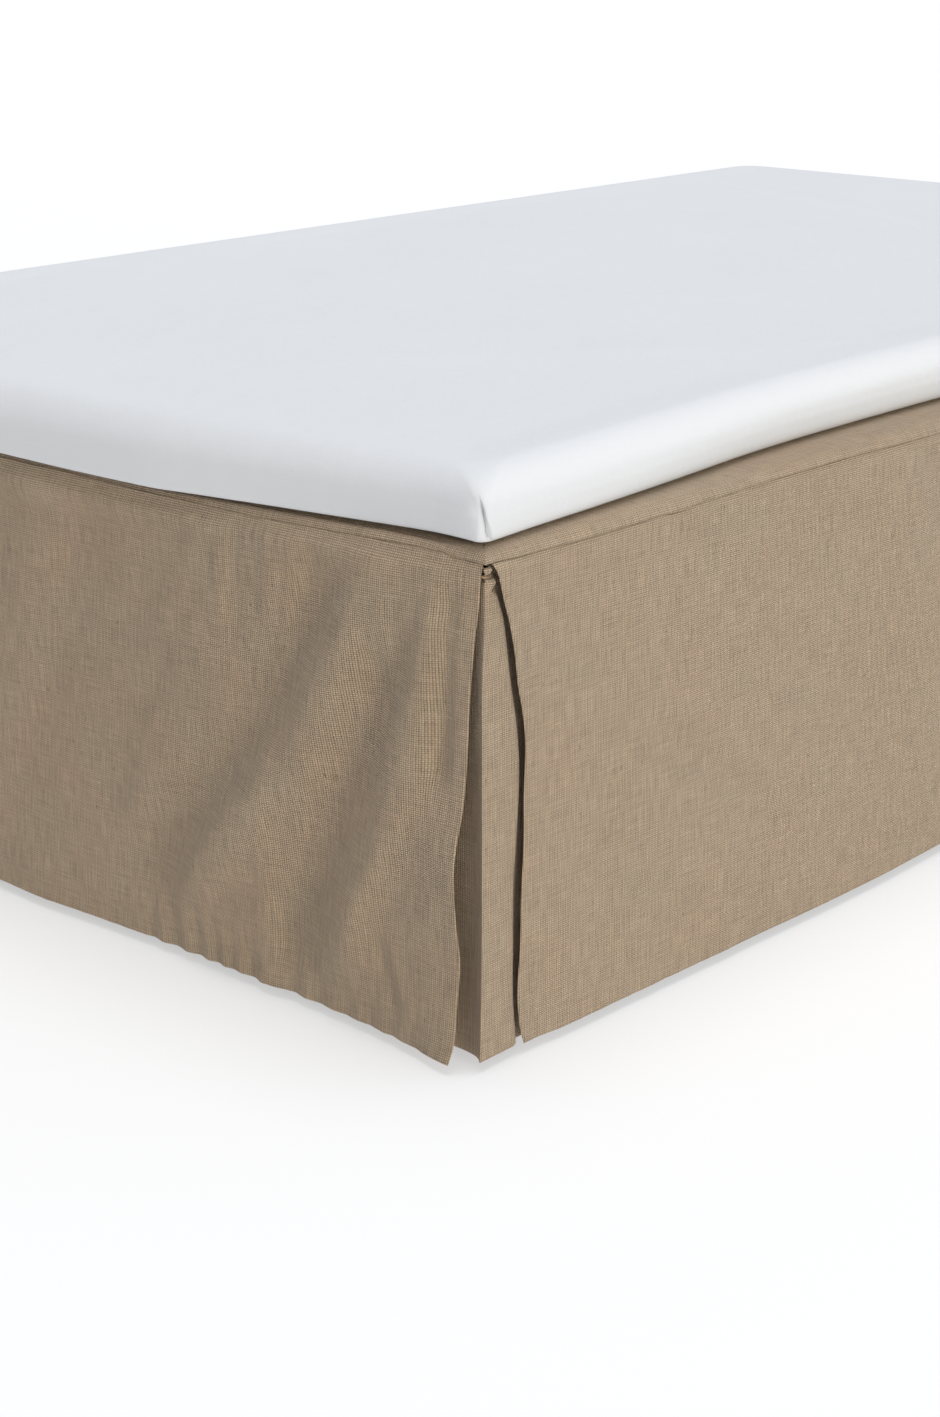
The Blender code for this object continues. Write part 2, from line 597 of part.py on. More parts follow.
def laid(x, y):
    """A plan place of the topper moved to where it lies on the bed."""
    from_foot = (y - FOOT_Y) * 1000
    from_side = (SIDE_X - x) * 1000
    to_right = (x + SIDE_X) / (2 * SIDE_X)
    to_foot = (HEAD_Y - y) / (HEAD_Y - FOOT_Y)
    right_out = follow(RIGHT_LIE, from_foot, "outward")
    left_out = follow(LEFT_LIE, from_foot, "outward")
    head_out = follow(HEAD_LIE, from_side, "outward")
    foot_out = follow(FOOT_LIE, from_side, "outward")
    moved_x = to_right * right_out - (1 - to_right) * left_out
    moved_y = (1 - to_foot) * head_out - to_foot * foot_out
    return x + mm(moved_x), y + mm(moved_y)


def make_topper():
    """Thin mattress with soft edges; its lip sinks where the foot edge reaches past the bed's face."""
    top = TOPPER_BOTTOM + TOPPER_HEIGHT
    section = [(inset, TOPPER_BOTTOM + rise, 1 - smoothstep(inset / LIP_SINK)) for inset, rise in TOPPER_LIP]
    for n in range(CROWN_STEPS + 1):
        turn = math.pi / 2 * n / CROWN_STEPS
        drop = TOPPER_CROWN * (1 - math.sin(turn))
        section.append((CROWN_INSET * (1 - math.cos(turn)), top - drop, 0.75 * (1 - n / CROWN_STEPS)))
    resting = []
    for (x, y), (rest_x, rest_y) in zip(topper_ring(0), topper_ring(TOPPER_REST)):
        on_foot_side = y < FOOT_Y + TOPPER_CORNER / 2
        overhang = mm(follow(FOOT_LIE, (SIDE_X - x) * 1000, "outward")) + BAND_ROLL
        resting.append((rest_x, rest_y + (max(0.0, overhang - TOPPER_REST) if on_foot_side else 0.0)))
    made = bmesh.new()
    loops = [[made.verts.new((*laid(x, y), TOPPER_BOTTOM)) for x, y in resting]]
    for inset, height, sink in section:
        loop = []
        for x, y in topper_ring(inset):
            near_foot = 1 - smoothstep((y - FOOT_Y) / DROOP_REACH)
            droop = mm(follow(FOOT_LIE, (SIDE_X - x) * 1000, "droop")) * near_foot
            loop.append(made.verts.new((*laid(x, y), height - droop * sink)))
        loops.append(loop)
    for low, high in zip(loops, loops[1:]):
        for n in range(len(low)):
            m = (n + 1) % len(low)
            made.faces.new((low[n], low[m], high[m], high[n]))
    for outline, loop in ((resting, loops[0]), (topper_ring(CROWN_INSET), loops[-1])):
        flat = [Vector(place[:2]) for place in outline]
        cut = geometry.delaunay_2d_cdt(flat, [], [list(range(len(flat)))], 1, 1e-7)
        for face in cut[2]:
            made.faces.new([loop[cut[3][n][0]] for n in face])
    bmesh.ops.triangulate(made, faces=made.faces[:])
    bmesh.ops.recalc_face_normals(made, faces=made.faces[:])
    return add_object("topper", made, SHEET)


def build():
    clear_scene()
    make_base()
    make_legs()
    make_deck()
    for side in PANELS:
        make_band(side)
        make_drop(side)
    make_gusset("right", RIGHT_CREASE, 1)
    make_gusset("left", LEFT_CREASE, -1)
    make_topper()


build()
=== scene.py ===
"""Looks of the bed skirt: canvas drops, bands and gussets on a plain bed with a white-sheeted topper.

Lengths in the tables are millimetres: along a panel from its foot corner, outward from the bed's face,
and heights above the floor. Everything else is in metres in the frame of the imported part.
"""
import math
from collections import namedtuple

import bmesh
import bpy
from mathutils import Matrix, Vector, geometry, noise


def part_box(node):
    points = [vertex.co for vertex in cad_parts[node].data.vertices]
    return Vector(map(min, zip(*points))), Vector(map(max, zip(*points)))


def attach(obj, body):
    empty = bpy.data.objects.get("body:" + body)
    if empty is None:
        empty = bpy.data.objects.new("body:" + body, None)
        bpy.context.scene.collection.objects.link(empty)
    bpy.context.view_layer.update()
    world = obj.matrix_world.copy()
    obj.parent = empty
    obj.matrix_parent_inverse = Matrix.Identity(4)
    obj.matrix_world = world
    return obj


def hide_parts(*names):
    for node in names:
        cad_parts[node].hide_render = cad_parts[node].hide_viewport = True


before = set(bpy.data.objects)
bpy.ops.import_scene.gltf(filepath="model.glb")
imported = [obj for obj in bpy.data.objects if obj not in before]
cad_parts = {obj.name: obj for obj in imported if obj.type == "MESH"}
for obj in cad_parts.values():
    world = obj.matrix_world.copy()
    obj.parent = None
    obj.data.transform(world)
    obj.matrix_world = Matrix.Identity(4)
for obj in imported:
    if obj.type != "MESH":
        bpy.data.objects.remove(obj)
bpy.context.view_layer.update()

BODY = "root"

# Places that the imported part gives
SIDE_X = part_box("band_right")[1].x
FOOT_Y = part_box("band_foot")[0].y
HEAD_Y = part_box("band_right")[1].y
DECK_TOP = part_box("skirt_deck")[1].z
TOPPER_BOTTOM = DECK_TOP + 0.0003
TOPPER_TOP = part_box("topper")[1].z
HEM_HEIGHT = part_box("drop_foot")[0].z * 1000
BED_WIDTH = 2 * SIDE_X * 1000
BED_LENGTH = (HEAD_Y - FOOT_Y) * 1000

# The photograph's camera, solved from the skirt's seams and hems
PHOTO_HEIGHT = 1417
PHOTO_FOCAL = 2651.48
CAMERA_PITCH = 0.3134
CAMERA_TURN = 0.7204
CAMERA_FROM_CORNER = (1.35962, -1.56791, 1.00022)
SENSOR = 36.0

# Cloth sizes as shown
CLOTH = 1.5
HEM_EXTRA = 0.5
SIDE_HEM = 16.0
SEAM_HEIGHT = 448.0
SEAM_GAP = 0.5
MITRE_GAP = 0.3
BAND_WIDTH = 100.0
BAND_ROLL = 14.0
RAMP_POWER = 1.1
EDGE_REACH = 130.0
EDGE_BLEND = 60.0
CURL = 4.2
SEAM_FREE = 14.0
HEM_FREE = 45.0
EDGE_FREE = 24.0
SEAM_RECESS = 1.1
CREST_RISE = 1.1
PUFFED_FROM = 2.2
SHOULDER_RAMP = 12.0
SHOULDER_FADE = 34.0
SWELL = 0.75
QUIVER = 0.28
HEM_QUIVER = 0.45
SEAM_QUIVER = 0.35
STITCH_DIP = 0.30
HEM_STEP = 0.25
VALLEY_DEPTH = 4.6
VALLEY_RIDGE = 1.8
BAND_PRESS = 0.7
GUSSET_ARM = 115.0
GUSSET_REST = 3.5
GUSSET_TUCK = 8.5
GUSSET_FADE = 9.0
TUCK_STEPS = (
    (-1.2, 0.5), (0, 1.4), (0.9, 2.6), (1.6, 3.9), (2.3, 5.2), (3.4, 6.5), (4.8, 7.4), (7, 8.1), (10, 8.5),
)
GUSSET_TOP = 445.8
GUSSET_TOP_ROWS = (0, 0.6, 1.6, 2.8, 4, 5.2, 6.2, 7.0, 7.8, 8.6, 9.4, 10.4, 12, 14, 16, 18, 20.5, 23, 26)

Seam = namedtuple("Seam", "along height")
Hem = namedtuple("Hem", "along outward")
Edge = namedtuple("Edge", "height along outward")
Fold = namedtuple("Fold", "along_top height_top along_mid height_mid along_low height_low width rise")
Shoulder = namedtuple("Shoulder", "along rise")
Ripple = namedtuple("Ripple", "along width reach rise")
Crease = namedtuple("Crease", "height foot_out side_out turn")
Dent = namedtuple("Dent", "rise height tall across back wide")
Lie = namedtuple("Lie", "along outward droop")
LipPoint = namedtuple("LipPoint", "inset rise foot_lift")
Wrinkle = namedtuple("Wrinkle", "x_from y_from x_to y_to width rise")

FOOT_SEAM = [
    Seam(0, 449.0), Seam(44, 450.5), Seam(120, 449.0), Seam(204, 446.8), Seam(272, 444.6),
    Seam(400, 445.5), Seam(620, 447.5), Seam(820, 446.0), Seam(1050, 448.5), Seam(1200, 449.0),
]
SIDE_SEAM = [
    Seam(0, 449.0), Seam(20, 448.6), Seam(147, 446.2), Seam(339, 448.6), Seam(475, 449.6),
    Seam(700, 447.5), Seam(1000, 448.8), Seam(1400, 447.0), Seam(2000, 448.0),
]
FOOT_HEM = [
    Hem(0, 32.0), Hem(40, 25.8), Hem(91, 18.5), Hem(160, 11.6), Hem(207, 9.4), Hem(233, 8.4),
    Hem(252, 12.6), Hem(272, 9.8), Hem(304, 8.1), Hem(357, 6.4), Hem(450, 5.9), Hem(560, 10.0),
    Hem(660, 6.5), Hem(780, 11.0), Hem(900, 8.0), Hem(1040, 13.0), Hem(1120, 17.0), Hem(1200, 22.0),
]
RIGHT_HEM = [
    Hem(0, 2.0), Hem(50, 4.5), Hem(79, 6.7), Hem(105, 8.7), Hem(138, 9.6), Hem(203, 11.5), Hem(291, 13.9),
    Hem(385, 16.1), Hem(478, 19.2), Hem(600, 20.5), Hem(760, 16.0), Hem(930, 18.5), Hem(1120, 14.0),
    Hem(1330, 18.0), Hem(1560, 13.0), Hem(1780, 16.0), Hem(2000, 10.0),
]
LEFT_HEM = [
    Hem(0, 3.0), Hem(60, 7.0), Hem(150, 12.0), Hem(280, 16.0), Hem(420, 13.0), Hem(600, 19.0),
    Hem(800, 15.0), Hem(1000, 19.5), Hem(1200, 15.5), Hem(1450, 18.5), Hem(1700, 13.5), Hem(2000, 11.0),
]
FOOT_EDGE = [
    Edge(450, 4, 0), Edge(438, 5, 0.6), Edge(410, 6.4, 2), Edge(385, 7.6, 5), Edge(340, 9.6, 8),
    Edge(250, 12, 13), Edge(190, 15, 23), Edge(140, 15, 21), Edge(105, 13, 18), Edge(64, 14, 20),
    Edge(26, 15, 24), Edge(10, 16, 30),
]
FOOT_FAR_EDGE = [
    Edge(450, 2, 0), Edge(400, 8, 3), Edge(330, 12, 7), Edge(250, 17, 9), Edge(170, 16, 14),
    Edge(90, 18, 17), Edge(10, 15, 21),
]
RIGHT_EDGE = [
    Edge(450, 7.5, 0.4), Edge(443, 11.5, 2.6), Edge(436, 14, 3.5), Edge(414, 20.5, 3.5),
    Edge(396, 27, 3.5), Edge(370, 33, 4), Edge(338, 38, 4), Edge(314, 44, 4), Edge(287, 47, 4.5),
    Edge(240, 46, 4.2), Edge(196, 46, 4.2), Edge(151, 43, 4.5), Edge(105, 42, 4.5), Edge(59, 39, 4.5),
    Edge(24, 43, 4.5), Edge(10, 48, 4.5),
]
LEFT_EDGE = [
    Edge(450, 3, 0.4), Edge(430, 12, 3.5), Edge(380, 24, 4), Edge(320, 35, 4.5), Edge(240, 38, 5),
    Edge(150, 34, 4.8), Edge(70, 36, 4.8), Edge(10, 42, 4.8),
]
FOOT_FOLDS = [
    Fold(150, 410, 195, 280, 300, 150, 95, 7.5), Fold(199, 380, 280, 245, 405, 108, 31, -9.5),
    Fold(138, 376, 204, 250, 335, 108, 30, 11.0), Fold(112, 332, 160, 221, 222, 75, 26, -9.0),
    Fold(50, 380, 87, 229, 150, 86, 28, 10.5), Fold(88, 225, 104, 175, 126, 136, 30, 3.5),
    Fold(332, 342, 383, 256, 434, 156, 42, 4.5), Fold(35, 405, 38, 330, 43, 272, 12, -8.0),
    Fold(56, 262, 58, 205, 62, 150, 24, 2.5), Fold(98, 185, 120, 145, 140, 105, 7, 2.4),
    Fold(129, 388, 128, 365, 126, 346, 8, -1.6), Fold(104, 388, 103, 365, 101, 342, 9, 2.0),
    Fold(322, 430, 355, 392, 396, 330, 14, 2.6), Fold(396, 276, 432, 220, 456, 150, 20, -2.4),
    Fold(283, 432, 287, 390, 290, 345, 8, -2.6), Fold(306, 434, 307, 400, 309, 360, 7, 2.0),
    Fold(236, 428, 240, 405, 246, 378, 10, 1.8), Fold(262, 430, 265, 405, 270, 378, 10, -1.6),
    Fold(213, 437, 222, 392, 231, 346, 9, 2.2), Fold(192, 436, 199, 392, 207, 350, 9, -1.8),
    Fold(150, 438, 162, 415, 176, 388, 11, -2.0), Fold(262, 402, 330, 398, 440, 392, 30, 3.5),
    Fold(84, 400, 96, 375, 106, 352, 8, 1.2), Fold(112, 96, 99, 64, 88, 36, 7, -2.2),
    Fold(93, 96, 82, 66, 73, 40, 7, 1.8), Fold(330, 150, 360, 110, 385, 70, 12, -1.8),
    Fold(340, 433, 480, 432, 640, 431, 13, 4.0), Fold(500, 360, 560, 240, 610, 120, 36, -4.5),
    Fold(560, 420, 600, 240, 640, 60, 40, 4.0), Fold(700, 380, 740, 220, 780, 60, 46, 5.0),
    Fold(650, 400, 680, 260, 700, 110, 30, -4.0), Fold(840, 430, 870, 280, 900, 120, 36, -4.2),
    Fold(960, 360, 1010, 210, 1060, 60, 40, 4.0),
]
RIGHT_FOLDS = [
    Fold(62, 414, 130, 345, 190, 270, 13, -2.2), Fold(90, 392, 150, 322, 205, 250, 16, 1.0),
    Fold(132, 428, 186, 396, 244, 352, 13, -1.9), Fold(100, 430, 111, 415, 122, 400, 7, -1.2),
    Fold(214, 438, 272, 418, 326, 394, 12, -1.5), Fold(234, 246, 296, 204, 400, 118, 17, -3.0),
    Fold(262, 262, 330, 216, 420, 150, 18, 1.6), Fold(150, 200, 152, 130, 150, 60, 22, -1.6),
    Fold(205, 112, 236, 76, 266, 42, 14, -1.5), Fold(60, 200, 92, 130, 110, 60, 30, 1.8),
    Fold(620, 400, 660, 230, 700, 60, 46, 4.0), Fold(700, 420, 745, 260, 780, 110, 36, -3.2),
    Fold(900, 420, 930, 270, 960, 120, 40, -3.6), Fold(1180, 420, 1210, 240, 1240, 60, 42, -4.0),
    Fold(1290, 410, 1320, 250, 1350, 80, 40, 3.6), Fold(1400, 360, 1440, 205, 1480, 50, 50, 3.8),
    Fold(1700, 400, 1730, 245, 1760, 90, 42, -3.6),
]
LEFT_FOLDS = [
    Fold(120, 400, 190, 280, 260, 160, 30, -3.8), Fold(200, 420, 260, 280, 330, 120, 30, 3.4),
    Fold(330, 410, 375, 245, 420, 80, 40, 3.6), Fold(620, 420, 670, 270, 720, 120, 36, -4.0),
    Fold(760, 400, 800, 240, 850, 90, 36, 3.8), Fold(980, 400, 1020, 230, 1060, 60, 46, 3.6),
    Fold(1300, 410, 1340, 250, 1380, 90, 42, -4.0), Fold(1650, 380, 1685, 220, 1720, 60, 46, 3.4),
]
RIGHT_CREASE = [
    Crease(446, -2.5, -2.5, 9), Crease(440, -2.5, -2.5, 11), Crease(436, -2.5, -2.5, 13.5),
    Crease(432, -2.4, -2.2, 16), Crease(427, -2.4, -2.4, 14), Crease(421, -2.3, -2.3, 18.4),
    Crease(414, -2.2, -2.2, 20.8), Crease(400, -1.2, -1.8, 26), Crease(376, 1.2, -1.2, 29.5),
    Crease(350, 4.0, -0.2, 33), Crease(313, 4.4, 0, 39.5), Crease(272, 4.5, 0.3, 45.5),
    Crease(240, 4.5, 0.4, 45), Crease(205, 4.5, 0.4, 42.5), Crease(161, 4.7, 0.5, 38.5),
    Crease(105, 5.4, 0.8, 38.5), Crease(57, 6.8, 1.2, 37.5), Crease(20, 8.2, 1.5, 41),
    Crease(10, 9.0, 1.5, 41.5),
]
LEFT_CREASE = [
    Crease(446, -2.5, -2.5, 11), Crease(418, -2.3, -2.3, 17), Crease(376, 0.6, -1.2, 24),
    Crease(313, 3.2, 0.2, 30), Crease(205, 3.8, 0.8, 33), Crease(105, 4.6, 1.0, 30),
    Crease(10, 6.5, 1.6, 36),
]

# Bead, crease, bulge and pockets under the split corner; across None runs along the whole pleat
GUSSET_CRUMPLE = [
    Dent(3.6, 443.2, 2.4, -1, -6, 4.5), Dent(-6.5, 437.4, 1.5, -2, -6, 9.0),
    Dent(4.2, 432.0, 3.6, -1, -9, 5.0), Dent(-4.0, 438.5, 5.0, -7, -3, 3.6),
    Dent(-3.5, 441.0, 3.4, None, -13, 2.8), Dent(-5.0, 426.0, 2.6, None, -15, 2.8),
]

# Finer relief that only the shown cloth has
FOOT_SHOULDER = [
    Shoulder(0, 0.0), Shoulder(34, 0.0), Shoulder(50, 2.6), Shoulder(150, 3.6), Shoulder(240, 4.8),
    Shoulder(340, 5.8), Shoulder(600, 4.6), Shoulder(1000, 3.0), Shoulder(1150, 0.5), Shoulder(1200, 0.0),
]
FOOT_FINE = [
    Fold(232, 350, 247, 300, 262, 250, 11, -0.9), Fold(300, 300, 320, 245, 340, 190, 14, 0.9),
    Fold(60, 424, 68, 380, 76, 335, 7, -0.8), Fold(100, 428, 106, 395, 112, 360, 8, 0.8),
    Fold(130, 262, 140, 232, 150, 200, 11, 0.9), Fold(40, 200, 46, 130, 52, 60, 8, 0.7),
    Fold(310, 422, 314, 400, 318, 380, 6, -0.8), Fold(345, 284, 362, 262, 380, 240, 11, -0.8),
    Fold(180, 152, 188, 105, 196, 60, 9, -0.9), Fold(70, 330, 84, 290, 98, 250, 9, 0.9),
    Fold(64, 250, 72, 205, 80, 160, 8, -0.8), Fold(120, 440, 126, 425, 134, 408, 6, 0.8),
    Fold(205, 330, 222, 300, 240, 270, 8, 0.6), Fold(270, 190, 300, 160, 330, 132, 9, 0.7),
    Fold(400, 425, 410, 395, 424, 360, 10, -1.0), Fold(372, 350, 396, 312, 424, 280, 12, 0.9),
    Fold(250, 250, 262, 225, 278, 200, 8, -0.6), Fold(155, 420, 160, 400, 166, 380, 5, 0.6),
]
RIGHT_FINE = [
    Fold(30, 430, 45, 405, 60, 380, 9, 0.6), Fold(90, 350, 125, 318, 160, 280, 12, 0.5),
    Fold(52, 200, 56, 130, 60, 60, 12, 0.5), Fold(330, 330, 380, 300, 430, 270, 16, -0.6),
    Fold(110, 120, 118, 90, 128, 60, 9, 0.5), Fold(300, 90, 318, 60, 334, 36, 10, 0.5),
]
FOOT_RIPPLES = [
    Ripple(262, 5, 34, 1.5), Ripple(276, 5, 46, -1.6), Ripple(292, 6, 52, 1.5), Ripple(312, 6, 58, 1.8),
    Ripple(324, 5, 40, -1.6), Ripple(336, 6, 60, 1.8), Ripple(351, 5, 44, -1.8), Ripple(366, 6, 66, 1.9),
    Ripple(383, 6, 46, -1.8), Ripple(400, 6, 62, 1.8), Ripple(416, 5, 40, -1.5), Ripple(60, 6, 40, -1.0),
    Ripple(78, 5, 36, 1.1), Ripple(92, 5, 34, -1.2), Ripple(104, 5, 34, 1.0), Ripple(122, 5, 30, -1.1),
    Ripple(138, 6, 32, 1.1), Ripple(154, 5, 34, -1.2), Ripple(170, 6, 30, 1.2), Ripple(188, 5, 32, -1.1),
    Ripple(205, 6, 30, 1.1), Ripple(222, 5, 32, -1.2), Ripple(241, 6, 30, 1.2),
]
RIGHT_RIPPLES = [
    Ripple(150, 9, 40, 0.6), Ripple(196, 8, 30, -0.5), Ripple(240, 10, 34, -0.6), Ripple(330, 9, 40, 0.6),
]

FOOT_LIE = [
    Lie(0, -3.5, 0.8), Lie(22, -3.2, -1.7), Lie(60, -4.0, -1.9), Lie(130, -2.5, 1.0), Lie(200, 0.5, 3.5),
    Lie(250, 3.2, 5.1), Lie(330, 8, 7.9), Lie(400, 12, 10.0), Lie(600, 12, 9.0), Lie(850, 7, 4.0),
    Lie(1050, 0, 1.0), Lie(1200, -12, 0),
]
RIGHT_LIE = [
    Lie(0, -3.5, 0), Lie(75, -10, 0), Lie(177, -17, 0), Lie(294, -27, 0), Lie(426, -40, 0),
    Lie(550, -46, 0), Lie(800, -48, 0), Lie(1200, -40, 0), Lie(2000, -22, 0),
]
LEFT_LIE = [Lie(0, -12, 0), Lie(1000, -16, 0), Lie(2000, -22, 0)]
HEAD_LIE = [Lie(0, -8, 0), Lie(1200, -8, 0)]
TOPPER_CORNER = 0.010
TOPPER_CORNER_GROWTH = 0.8
TOPPER_CROWN = 0.032
CROWN_INSET = 0.038
TOPPER_REST = 0.030
TOPPER_SAG = 0.0014
TOP_SPACING = 0.010
LIP = [
    LipPoint(0.0200, 0.0006, 0.0004), LipPoint(0.0130, 0.0014, 0.0008), LipPoint(0.0085, 0.0024, 0.0002),
    LipPoint(0.0052, 0.0040, -0.0010), LipPoint(0.0028, 0.0064, -0.0026),
    LipPoint(0.0011, 0.0098, -0.0042), LipPoint(0.0003, 0.0142, -0.0050), LipPoint(0.0, 0.0190, -0.0040),
]
FOLD_TOP = (-0.0044, 0.4970)
FOLD_LOW = (0.0092, 0.4655)
FOLD_DEPTH = 0.0060
FOLD_SOFT = 0.0105
FOLD_SHARP = 0.0011
SHEET_WRINKLES = [
    Wrinkle(-0.20, -0.46, 0.12, -0.40, 0.012, -1.1), Wrinkle(0.02, -0.22, 0.20, -0.12, 0.014, 1.0),
    Wrinkle(-0.45, -0.70, 0.10, -0.52, 0.035, 1.2), Wrinkle(0.20, -0.60, 0.52, -0.20, 0.040, 1.3),
    Wrinkle(-0.40, -0.10, 0.30, 0.20, 0.030, -1.2), Wrinkle(-0.30, 0.45, 0.45, 0.55, 0.030, 1.2),
    Wrinkle(-0.50, 0.80, 0.00, 0.60, 0.025, -1.0), Wrinkle(0.30, 0.75, 0.50, 0.35, 0.025, 1.0),
]


def follow(rows, at, column, key="along"):
    """Smooth curve through one column of a table, flat beyond its two ends."""
    keys = [getattr(row, key) for row in rows]
    values = [getattr(row, column) for row in rows]
    if keys[0] > keys[-1]:
        keys.reverse()
        values.reverse()
    if at <= keys[0]:
        return values[0]
    if at >= keys[-1]:
        return values[-1]
    i = max(n for n, k in enumerate(keys) if k <= at)
    before = max(i - 1, 0)
    after = min(i + 2, len(keys) - 1)
    span = keys[i + 1] - keys[i]
    slope_in = (values[i + 1] - values[before]) / (keys[i + 1] - keys[before]) * span
    slope_out = (values[after] - values[i]) / (keys[after] - keys[i]) * span
    t = (at - keys[i]) / span
    return (
        values[i] * (2 * t ** 3 - 3 * t ** 2 + 1)
        + slope_in * (t ** 3 - 2 * t ** 2 + t)
        + values[i + 1] * (3 * t ** 2 - 2 * t ** 3)
        + slope_out * (t ** 3 - t ** 2)
    )


def smoothstep(value):
    held = min(1.0, max(0.0, value))
    return held * held * (3 - 2 * held)


def bell(value):
    return math.exp(-value * value)


def wave(x, y, seed):
    """Smooth noise from about -1 to 1."""
    return noise.noise(Vector((x, y, seed * 7.31 + 0.5))) * 1.6


def fold_rise(folds, along, height):
    """Height of the folds at a place: each is a soft ridge or trough along a line of two runs."""
    total = 0.0
    for fold in folds:
        reach = 3 * fold.width
        low_along, high_along = min(fold.along_top, fold.along_low), max(fold.along_top, fold.along_low)
        if along < low_along - reach or along > high_along + reach:
            continue
        best = 0.0
        marks = (fold[0:2], fold[2:4], fold[4:6])
        for n, (start, end) in enumerate(zip(marks, marks[1:])):
            run, fall = end[0] - start[0], end[1] - start[1]
            t = ((along - start[0]) * run + (height - start[1]) * fall) / (run * run + fall * fall)
            held = min(1.0, max(0.0, t))
            length = math.hypot(run, fall)
            past = max(-t if n == 0 else 0.0, t - 1 if n == 1 else 0.0, 0.0) * length
            gap_x = along - start[0] - run * held
            gap_y = height - start[1] - fall * held
            off_square = max(0.0, gap_x * gap_x + gap_y * gap_y - past * past)
            best = max(best, math.exp(-off_square / fold.width ** 2) * bell(past / (1.6 * fold.width)))
        total += fold.rise * best
    return total


def ripple_rise(ripples, along, above_hem):
    total = 0.0
    for ripple in ripples:
        off = (along - ripple.along) / ripple.width
        if abs(off) < 3:
            total += ripple.rise * bell(off) * bell(above_hem / ripple.reach)
    return total


def on_foot(along, outward, height):
    return (SIDE_X - along / 1000, FOOT_Y - outward / 1000, height / 1000)


def on_right(along, outward, height):
    return (SIDE_X + outward / 1000, FOOT_Y + along / 1000, height / 1000)


def on_left(along, outward, height):
    return (-SIDE_X - outward / 1000, FOOT_Y + along / 1000, height / 1000)


Panel = namedtuple("Panel", "length seam hem folds fine ripples start_edge far_edge place seed calm")
PANELS = {
    "foot": Panel(
        BED_WIDTH, FOOT_SEAM, FOOT_HEM, FOOT_FOLDS, FOOT_FINE, FOOT_RIPPLES, FOOT_EDGE, FOOT_FAR_EDGE,
        on_foot, 1, 1.0
    ),
    "right": Panel(
        BED_LENGTH, SIDE_SEAM, RIGHT_HEM, RIGHT_FOLDS, RIGHT_FINE, RIGHT_RIPPLES, RIGHT_EDGE, None,
        on_right, 2, 0.45
    ),
    "left": Panel(BED_LENGTH, SIDE_SEAM, LEFT_HEM, LEFT_FOLDS, [], [], LEFT_EDGE, None, on_left, 3, 0.8),
}


def fine_places(length, near_start, near_end, step, fine_reach=0.0, fine_step=1.0):
    """Distances from 0 to length: close near both ends, fine up to one reach, and even beyond it."""
    start = list(near_start)
    end = [length - place for place in reversed(near_end)]
    if fine_reach:
        count = round((fine_reach - start[-1]) / fine_step)
        start += [start[-1] + (fine_reach - start[-1]) * n / count for n in range(1, count + 1)]
    count = max(1, round((end[0] - start[-1]) / step))
    middle = [start[-1] + (end[0] - start[-1]) * n / count for n in range(1, count)]
    return start + middle + end


EDGE_COLUMNS = (0, 0.4, 1.2, 2.6, 5, 8, 11, 13.5, 15, 15.7, 16.4, 17.4, 19.5, 23, 28)
PLAIN_COLUMNS = (0, 0.4, 1.2, 3, 7)
SEAM_ROWS = (0, 0.4, 1.0, 2.0, 3.4, 5.4, 8, 11)
HEM_ROWS = (0, 0.4, 1.2, 3, 6)
DROP_STEP = 6.5
FAR_STEP = 8.0
SHOWN_REACH = 480.0
SHOWN_STEP = 3.8
NOMINAL_DROP = SEAM_HEIGHT - HEM_HEIGHT


def seam_height(panel, along):
    """Height of the seam with its small unevenness."""
    jog = 0.0
    if panel.seed == 2:
        jog = -1.7 * bell((along - 258) / 14) + 0.5 * bell((along - 300) / 16)
    return follow(panel.seam, along, "height") + 0.25 * wave(along / 31, 0.3, panel.seed + 20) + jog


